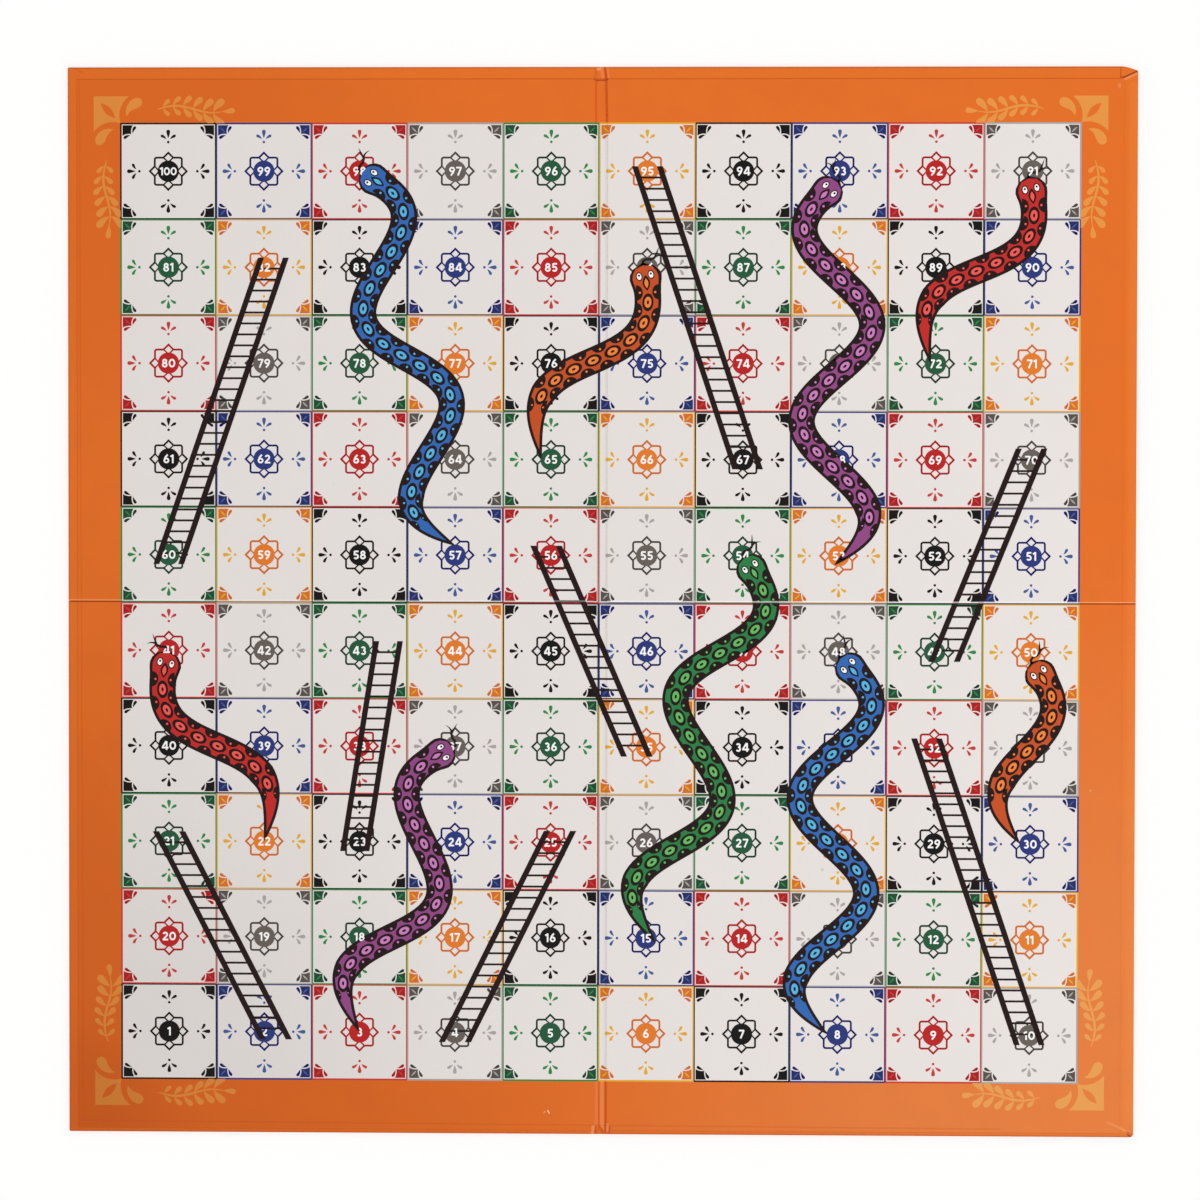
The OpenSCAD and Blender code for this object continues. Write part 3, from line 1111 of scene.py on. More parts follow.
class Plate(Enum):
    """Inks that lie in one piece, because they never cover each other."""

    GROUND = ("ground", "base")
    PALE = ("pale", "base")
    OUTLINES = ("outlines", "base")
    DISCS = ("discs", "base")
    LIGHT_BLUE = ("light_blue", "lights")
    LIGHT_RED = ("light_red", "lights")
    LIGHT_GREY = ("light_grey", "lights")
    LIGHT_GREEN = ("light_green", "lights")
    LIGHT_YELLOW = ("light_yellow", "lights")
    WHITE = ("white", "over")
    LINES = ("lines", "lines")
    SNAKES = ("snakes", "snakes")
    SCALES = ("scales", "over")

    def __init__(self, label: str, fold_label: str) -> None:
        """Keeps the piece's name on a panel, and over the channel, where plates are fewer."""
        self.label, self.fold_label = label, fold_label


class Ink(Enum):
    """The inks of the print."""

    GROUND = ((223, 108, 33), Plate.GROUND)
    PALE = ((226, 146, 66), Plate.PALE)
    BLACK = ((5, 4, 3), Plate.DISCS)
    NAVY = ((5, 6, 94), Plate.OUTLINES)
    DEEP_RED = ((164, 5, 12), Plate.OUTLINES)
    DEEP_GREY = ((64, 60, 55), Plate.OUTLINES)
    DEEP_GREEN = ((3, 50, 25), Plate.OUTLINES)
    RUST = ((204, 102, 25), Plate.OUTLINES)
    BLUE = ((39, 53, 119), Plate.DISCS)
    RED = ((182, 30, 31), Plate.DISCS)
    GREY = ((100, 92, 86), Plate.DISCS)
    GREEN = ((32, 85, 57), Plate.DISCS)
    ORANGE = ((223, 121, 39), Plate.DISCS)
    DARK_BLUE = ((30, 40, 98), Plate.DISCS)
    DARK_RED = ((166, 22, 24), Plate.DISCS)
    DARK_GREY = ((84, 77, 72), Plate.DISCS)
    DARK_GREEN = ((22, 70, 46), Plate.DISCS)
    BURNT = ((212, 108, 32), Plate.DISCS)
    LIGHT_BLUE = ((62, 88, 148), Plate.LIGHT_BLUE)
    LIGHT_RED = ((194, 56, 52), Plate.LIGHT_RED)
    LIGHT_GREY = ((166, 160, 159), Plate.LIGHT_GREY)
    LIGHT_GREEN = ((42, 132, 66), Plate.LIGHT_GREEN)
    LIGHT_YELLOW = ((224, 167, 44), Plate.LIGHT_YELLOW)
    WHITE = ((247, 245, 243), Plate.WHITE)
    LINE = ((26, 10, 9), Plate.LINES)
    SNAKE_BLUE = ((48, 102, 176), Plate.SNAKES)
    SNAKE_RED = ((190, 40, 36), Plate.SNAKES)
    SNAKE_PURPLE = ((142, 70, 128), Plate.SNAKES)
    SNAKE_GREEN = ((40, 122, 66), Plate.SNAKES)
    SNAKE_ORANGE = ((194, 78, 32), Plate.SNAKES)
    SCALE_BLUE = ((84, 178, 222), Plate.SCALES)
    SCALE_RED = ((236, 88, 80), Plate.SCALES)
    SCALE_PURPLE = ((200, 124, 186), Plate.SCALES)
    SCALE_GREEN = ((100, 180, 96), Plate.SCALES)
    SCALE_ORANGE = ((238, 130, 56), Plate.SCALES)

    def __init__(self, colour: Screen, plate: Plate) -> None:
        """Keeps the ink's screen colour and its plate."""
        self.colour, self.plate = colour, plate


@dataclass(frozen=True)
class Hue:
    """The inks of one square: disc, outlines, sprigs, frame and corner pieces."""

    solid: Ink
    outline: Ink
    light: Ink
    frame: Ink
    motif: Ink


HUES = (
    Hue(Ink.BLACK, Ink.BLACK, Ink.BLACK, Ink.LINE, Ink.BLACK),
    Hue(Ink.BLUE, Ink.NAVY, Ink.LIGHT_BLUE, Ink.BLUE, Ink.DARK_BLUE),
    Hue(Ink.RED, Ink.DEEP_RED, Ink.LIGHT_RED, Ink.LIGHT_RED, Ink.DARK_RED),
    Hue(Ink.GREY, Ink.DEEP_GREY, Ink.LIGHT_GREY, Ink.LIGHT_GREY, Ink.DARK_GREY),
    Hue(Ink.GREEN, Ink.DEEP_GREEN, Ink.LIGHT_GREEN, Ink.LIGHT_GREEN, Ink.DARK_GREEN),
    Hue(Ink.ORANGE, Ink.RUST, Ink.LIGHT_YELLOW, Ink.LIGHT_YELLOW, Ink.BURNT),
)


class Pass(Enum):
    """Heights of the ink's passes above the printed sheet, in millimetres."""

    GROUND = 0.010
    OVER = 0.020
    FIGURE = 0.030
    SNAKE_LINE = 0.040
    SNAKE_BODY = 0.050
    MARKING = 0.060
    LIGHT = 0.070
    PUPIL = 0.078


# What is printed


@dataclass
class Print:
    """Collects every printed shape by ink and height, over the whole board."""

    shapes: dict[tuple[Ink, float], list[Polygon]] = field(default_factory=dict)
    step: float = 0.0015

    def lay(self, ink: Ink, at: Pass, shapes: Iterable[Polygon], steps: int = 0) -> None:
        """Adds shapes in one ink, a few steps over the height of a pass."""
        key = (ink, at.value + steps * self.step)
        self.shapes.setdefault(key, []).extend(facing_up(list(s)) for s in shapes)


@dataclass
class SquareArt:
    """The ornament that each square carries, about its middle."""

    disc_r: float = 4.0
    star_reach: float = 6.92
    star_half: float = 5.08
    star_corner: float = 0.7
    star_line: float = 0.72
    frame_line: float = 0.44
    frame_inset: float = 0.225
    frame_bleed: float = 0.18
    fold_aside: float = 0.28
    fold_into_disc: float = 0.35
    fold_line_share: float = 0.75
    motif_inset: float = 0.75
    figure_h: float = 3.25
    figure_line: float = 0.62
    figure_gap: float = 0.1
    hundred_h_share: float = 0.93
    hundred_gap: float = 0.06

    def star(self) -> list[Polygon]:
        """Eight-pointed outline, half square and half diamond."""
        side = self.star_half
        r = self.star_corner
        step = self.star_reach - side
        quarter = [(self.star_reach, 0.0), (side, step)]
        quarter += arc((side - r, side - r), r, 0, 90, 4)
        quarter += [(step, side)]
        line = [p for k in range(4) for p in turned(quarter, k)]
        return stroke(line, self.star_line, closed=True)

    def star_folds(self) -> list[Polygon]:
        """Short lines that close the diamonds towards the disc."""
        step = self.star_reach - self.star_half
        shapes: list[Polygon] = []
        for k in range(4):
            for s in (-1, 1):
                inner = (s * self.fold_aside, self.disc_r - self.fold_into_disc)
                line = [(s * step, self.star_half), inner]
                shapes += stroke(turned(line, k), self.star_line * self.fold_line_share)
        return shapes

    def sprigs(self) -> list[Polygon]:
        """Three petals and a dot on each side of the star."""
        shapes = [
            disc((0.0, 10.9), 0.5, 12),
            petal((0.0, 12.3), (0.0, 14.0), (0.0, 15.5), 0.86),
            petal((0.7, 11.95), (1.45, 12.95), (2.85, 13.4), 0.64),
            petal((-0.7, 11.95), (-1.45, 12.95), (-2.85, 13.4), 0.64),
        ]
        return [turned(shape, k) for shape in shapes for k in range(4)]

    def motif(self) -> Polygon:
        """Corner piece with two bites, drawn from its outer corner."""
        bite = (7.58, 2.42)
        first = arc(bite, 4.37, 213.6, 167.4, 6)
        return [(0.0, 0.0)] + first + [(y, x) for x, y in first[-2::-1]]

    def motif_petals(self) -> list[Polygon]:
        """Two small petals in the bites."""
        one = petal((3.78, 3.0), (3.85, 1.6), (5.0, 0.5), 0.66)
        return [one, [(y, x) for x, y in one]]

    def motif_slash(self) -> Polygon:
        """Lighter slash along the corner piece's diagonal."""
        return lens((0.7, 0.7), (2.85, 2.85), 0.32)

    def frame(self) -> list[Polygon]:
        """Line round a square, just inside its edges."""
        reach = PLAN.square / 2 - self.frame_inset
        return stroke(rectangle((-reach, -reach), (reach, reach)), self.frame_line, closed=True)

    def bleed(self, col: int, row: int) -> list[Polygon]:
        """Where a square lies at the field's edge, the spread of its line over the margin."""
        half = PLAN.square / 2
        last = PLAN.squares - 1
        strip = rectangle((half, -half), (half + self.frame_bleed, half))
        outermost = (col == last, row == last, col == 0, row == 0)
        return [turned(strip, k) for k in range(4) if outermost[k]]

    def figures(self, number: int) -> list[list[Polygon]]:
        """The number in round upright figures, centred.

        Args:
            number: The number of the square.

        Returns:
            The pieces of each stroke of its figures.
        """
        digits = str(number)
        h, gap = self.figure_h, self.figure_gap
        if len(digits) > 2:
            h, gap = self.figure_h * self.hundred_h_share, self.hundred_gap
        total = sum(FIGURES[d].width for d in digits) + gap * (len(digits) - 1)
        x = -total / 2
        strokes: list[list[Polygon]] = []
        for d in digits:
            for closed, points in FIGURES[d].lines:
                placed = [((x + px) * h, (py - 0.5) * h) for px, py in points]
                strokes.append(stroke(placed, self.figure_line * h / self.figure_h, closed))
            x += FIGURES[d].width + gap
        return strokes

    def press(self, board: Print, col: int, row: int) -> None:
        """Lays one square's print.

        Args:
            board: Takes the shapes.
            col: Column from the left, from 0.
            row: Row from the bottom, from 0.
        """
        across = col if row % 2 == 0 else PLAN.squares - 1 - col
        number = row * PLAN.squares + across + 1
        hue = HUES[(col + 4 * (PLAN.squares - 1 - row)) % len(HUES)]
        at = PLAN.place(col + 0.5, row + 0.5)

        def here(shapes: Iterable[Polygon]) -> list[Polygon]:
            return [turned(s, 0, at) for s in shapes]

        board.lay(hue.frame, Pass.OVER, here(self.frame() + self.bleed(col, row)))
        board.lay(hue.outline, Pass.GROUND, here(self.star()))
        board.lay(hue.outline, Pass.OVER, here(self.star_folds()))
        board.lay(hue.light, Pass.GROUND, here(self.sprigs()))
        board.lay(hue.solid, Pass.FIGURE, here([disc((0.0, 0.0), self.disc_r)]))
        for i, pieces in enumerate(self.figures(number)):
            board.lay(Ink.WHITE, Pass.SNAKE_LINE, here(pieces), i % 4)
        edge = PLAN.square / 2 - self.motif_inset
        for sx, sy in CORNERS:
            corner = (at[0] + sx * edge, at[1] + sy * edge)
            petals = [mirrored(s, -sx, -sy, corner) for s in self.motif_petals()]
            board.lay(hue.motif, Pass.GROUND, [mirrored(self.motif(), -sx, -sy, corner)])
            board.lay(hue.outline, Pass.GROUND, petals)
            if hue.light != hue.solid:
                board.lay(hue.light, Pass.OVER, [mirrored(self.motif_slash(), -sx, -sy, corner)])


@dataclass(frozen=True)
class Figure:
    """A figure as lines in a box one unit high: its width, and each line."""

    width: float
    lines: tuple[tuple[bool, tuple[Point, ...]], ...]


def ring(x: float, y: float, rx: float, ry: float) -> tuple[bool, tuple[Point, ...]]:
    """A closed round line."""
    points = tuple(
        (x + rx * math.cos(math.tau * i / 20), y + ry * math.sin(math.tau * i / 20))
        for i in range(20)
    )
    return True, points


def line(*points: Point) -> tuple[bool, tuple[Point, ...]]:
    """An open line."""
    return False, points


FIGURES = {
    "0": Figure(0.78, (ring(0.39, 0.5, 0.29, 0.4),)),
    "1": Figure(0.42, (line((0.29, 0.0), (0.29, 1.0)), line((0.3, 0.93), (0.02, 0.76)))),
    "2": Figure(
        0.7,
        (
            line(*arc((0.34, 0.68), 0.22, 165, -28, 10), (0.1, 0.09)),
            line((0.04, 0.09), (0.68, 0.09)),
        ),
    ),
    "3": Figure(
        0.68,
        (
            line(*arc((0.32, 0.71), 0.19, 155, -85, 10)),
            line(*arc((0.33, 0.31), 0.22, 95, -150, 12)),
        ),
    ),
    "4": Figure(
        0.78,
        (
            line((0.5, 1.0), (0.09, 0.3)),
            line((0.02, 0.26), (0.78, 0.26)),
            line((0.56, 0.0), (0.56, 1.0)),
        ),
    ),
    "5": Figure(
        0.68,
        (
            line((0.62, 0.91), (0.16, 0.91)),
            line((0.18, 0.95), (0.15, 0.47)),
            line(*arc((0.33, 0.32), 0.23, 128, -148, 13)),
        ),
    ),
    "6": Figure(0.7, (ring(0.35, 0.32, 0.24, 0.225), line((0.13, 0.4), (0.24, 0.7), (0.5, 1.0)))),
    "7": Figure(0.66, (line((0.02, 0.91), (0.62, 0.91)), line((0.6, 0.95), (0.22, 0.0)))),
    "8": Figure(0.7, (ring(0.35, 0.72, 0.19, 0.185), ring(0.35, 0.3, 0.235, 0.205))),
    "9": Figure(0.7, (ring(0.35, 0.68, 0.24, 0.225), line((0.57, 0.6), (0.46, 0.3), (0.2, 0.0)))),
}


@dataclass
class BorderArt:
    """Coloured ground of the margin, with a corner piece and two sprays at each corner."""

    corner_out: float = 10.05
    spray_start: float = 13.8
    spray_length: float = 25.0
    spray_middle: float = 5.2
    stem_sway: float = 1.3
    stem_turns: float = 0.9
    stem_thin: float = 0.25
    stem_swell: float = 0.7
    stem_steps: int = 24
    pairs: int = 6

    def ground(self) -> list[Polygon]:
        """The margin round the playing field, as four rectangles."""
        low = PLAN.place(0, 0)
        high = PLAN.place(PLAN.squares, PLAN.squares)
        far = PLAN.half
        return [
            rectangle((-far, -far), (low[0], far)),
            rectangle((high[0], -far), (far, far)),
            rectangle((low[0], -far), (high[0], low[1])),
            rectangle((low[0], high[1]), (high[0], far)),
        ]

    def corner_piece(self) -> list[Polygon]:
        """Corner piece with two bites, drawn from its outer corner, and its two petals."""
        bite = arc((18.64, 7.275), 9.05, 233.5, 162.7, 12)
        one = petal((12.3, 7.5), (12.7, 2.9), (18.2, 1.85), 2.3)
        return [
            [(0.0, 0.0)] + bite + [(y, x) for x, y in bite[::-1]],
            one,
            [(y, x) for x, y in one],
        ]

    def spray(self) -> tuple[list[Polygon], list[Polygon]]:
        """A leafy stem along the border, drawn in X from the corner, and its leaves."""
        start, length = self.spray_start, self.spray_length
        steps = self.stem_steps

        def stem(t: float) -> Point:
            sway = self.stem_sway * math.sin(math.tau * t * self.stem_turns)
            return start + length * t, self.spray_middle + sway

        def sides(i: int) -> tuple[Point, Point]:
            x, y = stem(i / steps)
            width = self.stem_thin + self.stem_swell * math.sin(math.pi * (i / steps) ** 0.8)
            return (x, y - width / 2), (x, y + width / 2)

        stalk = []
        for i in range(steps):
            (low, high), (next_low, next_high) = sides(i), sides(i + 1)
            stalk.append([low, next_low, next_high, high])
        leaves: list[Polygon] = []
        for i in range(self.pairs):
            share = (i + 0.6) / self.pairs
            x, y = stem(share * 0.9)
            size = 0.72 + 0.62 * share
            for s in (-1, 1):
                tip = (x, y + s * 0.25)
                bend = (x + 0.9 * size, y + s * 2.2 * size)
                tail = (x + 3.2 * size, y + s * 3.7 * size)
                leaves.append(petal(tip, bend, tail, 1.25 * size))
        x, y = stem(1.0)
        leaves.append(petal((x - 0.6, y), (x + 1.6, y - 0.2), (x + 4.2, y + 0.5), 1.25))
        return stalk, [cut_at(leaf, 1, 0.0, 1) for leaf in leaves]

    def press(self, board: Print) -> None:
        """Lays the ground and the ornaments of all four corners."""
        board.lay(Ink.GROUND, Pass.GROUND, self.ground())
        layers = list(zip((Pass.OVER, Pass.FIGURE), self.spray()))
        out = self.corner_out
        hole = lens((2.6, 2.5), (8.1, 8.2), 1.3)
        for sx, sy in CORNERS:
            corner = PLAN.place(PLAN.squares if sx > 0 else 0, PLAN.squares if sy > 0 else 0)
            tip = (corner[0] + sx * out, corner[1] + sy * out)
            pieces = [mirrored(s, -sx, -sy, tip) for s in self.corner_piece()]
            board.lay(Ink.PALE, Pass.OVER, pieces)
            board.lay(Ink.GROUND, Pass.FIGURE, [mirrored(hole, -sx, -sy, tip)])
            for at, shapes in layers:
                level = [mirrored(s, -sx, sy, corner) for s in shapes]
                upright = [mirrored([(y, x) for x, y in s], sx, -sy, corner) for s in shapes]
                board.lay(Ink.PALE, at, level + upright)


@dataclass
class LadderArt:
    """Ladders with level ends and level rungs, placed in squares."""

    spread: float = 8.8
    rail: float = 2.1
    rung: float = 0.75
    pitch: float = 4.1
    places: tuple[tuple[Point, Point], ...] = (
        ((1.62, 0.42), (0.5, 2.6)),
        ((3.5, 0.4), (4.6, 2.62)),
        ((9.5, 0.4), (8.42, 3.6)),
        ((2.45, 2.4), (2.8, 4.6)),
        ((5.4, 3.4), (4.45, 5.6)),
        ((8.6, 4.4), (9.5, 6.62)),
        ((0.5, 5.4), (1.6, 8.6)),
        ((6.55, 6.4), (5.5, 9.55)),
    )

    def press(self, board: Print) -> None:
        """Lays the rails over the rungs' ends."""
        for low, high in self.places:
            foot, top = PLAN.place(*low), PLAN.place(*high)
            rise = top[1] - foot[1]
            slant = (top[0] - foot[0]) / rise
            widen = math.hypot(slant, 1.0)
            reach, half = self.spread / 2 * widen, self.rail / 2 * widen
            for side in (-1, 1):
                a, b = foot[0] + side * reach, top[0] + side * reach
                rail = [(a - half, foot[1]), (a + half, foot[1]), (b + half, top[1]), (b - half, top[1])]
                board.lay(Ink.LINE, Pass.SNAKE_BODY, [rail])
            count = int(rise / self.pitch)
            for i in range(1, count):
                y = rise * i / count
                x = foot[0] + slant * y
                low_y = foot[1] + y - self.rung / 2
                rung = rectangle((x - reach, low_y), (x + reach, low_y + self.rung))
                board.lay(Ink.LINE, Pass.SNAKE_LINE, [rung])


@dataclass(frozen=True)
class SnakePlace:
    """One snake: its snout and tail tip in squares, its bends, its sway and its inks."""

    head: Point
    tail: Point
    bends: int
    sway: float
    body: Ink
    light: Ink


SNAKES = (
    SnakePlace((2.5, 9.5), (3.5, 5.6), 4, 0.34, Ink.SNAKE_BLUE, Ink.SCALE_BLUE),
    SnakePlace((9.45, 9.45), (8.45, 7.5), 2, 0.3, Ink.SNAKE_RED, Ink.SCALE_RED),
    SnakePlace((7.5, 9.4), (7.45, 5.4), 4, -0.36, Ink.SNAKE_PURPLE, Ink.SCALE_PURPLE),
    SnakePlace((6.5, 5.5), (5.6, 1.45), 4, 0.36, Ink.SNAKE_GREEN, Ink.SCALE_GREEN),
    SnakePlace((5.45, 8.55), (4.4, 6.5), 2, 0.3, Ink.SNAKE_ORANGE, Ink.SCALE_ORANGE),
    SnakePlace((7.5, 4.45), (7.4, 0.5), 4, 0.36, Ink.SNAKE_BLUE, Ink.SCALE_BLUE),
    SnakePlace((0.5, 4.5), (1.5, 2.5), 2, -0.3, Ink.SNAKE_RED, Ink.SCALE_RED),
    SnakePlace((3.5, 3.5), (2.5, 0.5), 3, -0.34, Ink.SNAKE_PURPLE, Ink.SCALE_PURPLE),
    SnakePlace((9.5, 4.4), (9.4, 2.5), 2, 0.26, Ink.SNAKE_ORANGE, Ink.SCALE_ORANGE),
)


@dataclass
class SnakeArt:
    """How every snake is drawn along its curved back, in millimetres."""

    width: float = 10.0
    outline: float = 1.1
    head: float = 11.0
    tail: float = 26.0
    pitch: float = 8.0
    steps: int = 28
    swell: float = 0.2
    oval_share: float = 0.42
    light_share: float = 0.62
    dot_share: float = 0.2
    moon_share: float = 0.36
    moon_deep: float = 0.62
    moon_over: float = 0.25

    def spine(self, snake: SnakePlace) -> Back:
        """Points along the back.

        Args:
            snake: The snake's place.

        Returns:
            For each point its place, its way ahead, and its distance from the snout.
        """
        snout, tip = PLAN.place(*snake.head), PLAN.place(*snake.tail)
        way = (tip[0] - snout[0], tip[1] - snout[1])
        length = math.hypot(*way)
        across = (-way[1] / length, way[0] / length)
        count = snake.bends * self.steps
        points = []
        for i in range(count + 1):
            t = i / count
            sway = snake.sway * PLAN.square * math.sin(math.pi * snake.bends * t)
            points.append(
                (snout[0] + way[0] * t + across[0] * sway, snout[1] + way[1] * t + across[1] * sway)
            )
        run = 0.0
        back = []
        for i, p in enumerate(points):
            a, b = points[max(0, i - 1)], points[min(count, i + 1)]
            step = math.hypot(b[0] - a[0], b[1] - a[1])
            if i > 0:
                run += math.hypot(p[0] - a[0], p[1] - a[1])
            back.append((p, ((b[0] - a[0]) / step, (b[1] - a[1]) / step), run))
        return back

    def half(self, u: float, length: float) -> float:
        """Half the body's width at a distance from the snout."""
        swell = 1 + self.swell * math.exp(-(((u / self.head - 0.5) * 3) ** 2))
        snout = math.sqrt(max(0.0, 1 - (1 - min(1.0, u / (self.head * 0.5))) ** 2))
        tail = max(0.0, min(1.0, (length - u) / self.tail))
        return self.width / 2 * swell * snout * tail**0.8

    def band(self, back: Back, inset: float) -> list[Polygon]:
        """The body drawn in by inset, as four-cornered pieces.

        Args:
            back: Points along the back.
            inset: How far the edge is drawn in.

        Returns:
            The pieces from the snout to the tail.
        """
        length = back[-1][2]
        sides = []
        for (x, y), (wx, wy), u in back:
            w = self.half(u, length) - inset
            if w > 0:
                sides.append(((x - wy * w, y + wx * w), (x + wy * w, y - wx * w)))
        (x, y), (wx, wy), _ = back[0]
        pieces = [[(x + wx * inset, y + wy * inset), sides[0][1], sides[0][0]]]
        pieces += [[near[1], far[1], far[0], near[0]] for near, far in zip(sides, sides[1:])]
        ends = [b for b in back if self.half(b[2], length) > inset]
        after = back[min(len(back) - 1, back.index(ends[-1]) + 1)]
        pieces.append([sides[-1][1], after[0], sides[-1][0]])
        return pieces

    def at(self, back: Back, u: float) -> tuple[Point, Point]:
        """Place and way at a distance from the snout."""
        for i in range(1, len(back)):
            if back[i][2] >= u:
                (a, _, ua), (b, way, ub) = back[i - 1], back[i]
                s = (u - ua) / (ub - ua)
                return (a[0] + (b[0] - a[0]) * s, a[1] + (b[1] - a[1]) * s), way
        return back[-1][0], back[-1][1]

    def press(self, board: Print, snake: SnakePlace) -> None:
        """Lays one snake."""
        back = self.spine(snake)
        length = back[-1][2]
        half = self.width / 2
        board.lay(Ink.LINE, Pass.SNAKE_LINE, self.band(back, 0.0))
        board.lay(snake.body, Pass.SNAKE_BODY, self.band(back, self.outline))
        count = int((length - self.head - self.tail / 2) / self.pitch)
        for i in range(count):
            u = self.head + (i + 0.5) * self.pitch
            (x, y), (wx, wy) = self.at(back, u)

            def oval(scale: float, stretch: float = 1.0) -> Polygon:
                along = self.pitch * self.oval_share * scale * stretch
                aside = half * self.oval_share * scale
                return ellipse((x, y), (wx * along, wy * along), (-wy * aside, wx * aside))

            board.lay(Ink.LINE, Pass.MARKING, [oval(1.0)])
            board.lay(snake.light, Pass.LIGHT, [oval(self.light_share)])
            board.lay(Ink.LINE, Pass.PUPIL, [oval(self.dot_share, 1.2)])
            self.press_sides(board, snake, back, u + self.pitch / 2)
        self.press_sides(board, snake, back, self.head + 0.3)
        self.press_head(board, snake, back)

    def press_sides(self, board: Print, snake: SnakePlace, back: Back, u: float) -> None:
        """Lays a dark half moon at each edge of the body, with a light dot."""
        (x, y), (wx, wy) = self.at(back, u)
        room = self.half(u, back[-1][2]) - self.outline
        along = min(self.pitch * self.moon_share, room)
        for s in (-1, 1):

            def out(ahead: float, aside: float) -> Point:
                return x + wx * ahead - wy * s * aside, y + wy * ahead + wx * s * aside

            bulge = [(math.cos(math.pi * k / 12), math.sin(math.pi * k / 12)) for k in range(13)]
            moon = [out(along * c, room + self.moon_over - room * self.moon_deep * q) for c, q in bulge]
            board.lay(Ink.LINE, Pass.MARKING, [moon])
            board.lay(snake.light, Pass.LIGHT, [disc(out(0.0, room * 0.72), 0.11 * room, 12)])

    def press_head(self, board: Print, snake: SnakePlace, back: Back) -> None:
        """Lays the eyes, the brow and the forked tongue."""
        half = self.width / 2
        (x, y), (wx, wy) = self.at(back, self.head * 0.45)
        for s in (-1, 1):
            eye = (x - wy * s * half * 0.45, y + wx * s * half * 0.45)
            ahead = (wx * 1.25, wy * 1.25)
            board.lay(Ink.LINE, Pass.MARKING, [ellipse(eye, (wx * 1.7, wy * 1.7), (-wy * 1.25, wx * 1.25))])
            board.lay(Ink.WHITE, Pass.LIGHT, [ellipse(eye, ahead, (-wy * 0.85, wx * 0.85))])
            board.lay(Ink.LINE, Pass.PUPIL, [disc((eye[0] - wx * 0.35, eye[1] - wy * 0.35), 0.42, 12)])
        (x, y), (wx, wy) = self.at(back, self.head * 0.74)
        cap = lens((x - wx * 3.4, y - wy * 3.4), (x + wx * 2.6, y + wy * 2.6), 1.45)
        board.lay(Ink.LINE, Pass.MARKING, [cap])
        cap = lens((x - wx * 2.2, y - wy * 2.2), (x + wx * 1.6, y + wy * 1.6), 0.75)
        board.lay(snake.light, Pass.LIGHT, [cap])
        (x, y), (wx, wy), _ = back[0]
        side = 1 if snake.sway > 0 else -1

        def out(ahead: float, aside: float) -> Point:
            return x - wx * ahead - wy * side * aside, y - wy * ahead + wx * side * aside

        line = [out(-0.8, 0.0), out(0.5, 0.35), out(0.9, 1.6), out(0.5, 3.4), out(0.9, 5.0)]
        board.lay(Ink.LINE, Pass.SNAKE_LINE, stroke(line, 0.9))
        near = petal(out(0.2, 8.8), out(2.2, 6.6), out(0.7, 4.6), 0.42)
        far = petal(out(4.6, 7.4), out(2.6, 6.2), out(0.8, 4.7), 0.42)
        board.lay(Ink.LINE, Pass.SNAKE_BODY, [near])
        board.lay(Ink.LINE, Pass.MARKING, [far])


# Sub-assemblies


@dataclass
class Looks:
    """The materials of the inks, made once."""

    effects: Effects
    inks: dict[Ink, bpy.types.Material] = field(default_factory=dict)

    def ink(self, ink: Ink) -> bpy.types.Material:
        """Material of one ink."""
        if ink not in self.inks:
            name = "ink_" + ink.name.lower()
            if ink in (Ink.GROUND, Ink.PALE):
                finish = orange_finish(name, ink.colour, GROUND_MARKS)
            else:
                finish = PaperFinish(name=name, colour=ink.colour, marks=INK_MARKS)
            self.inks[ink] = finish.look(self.effects)
        return self.inks[ink]


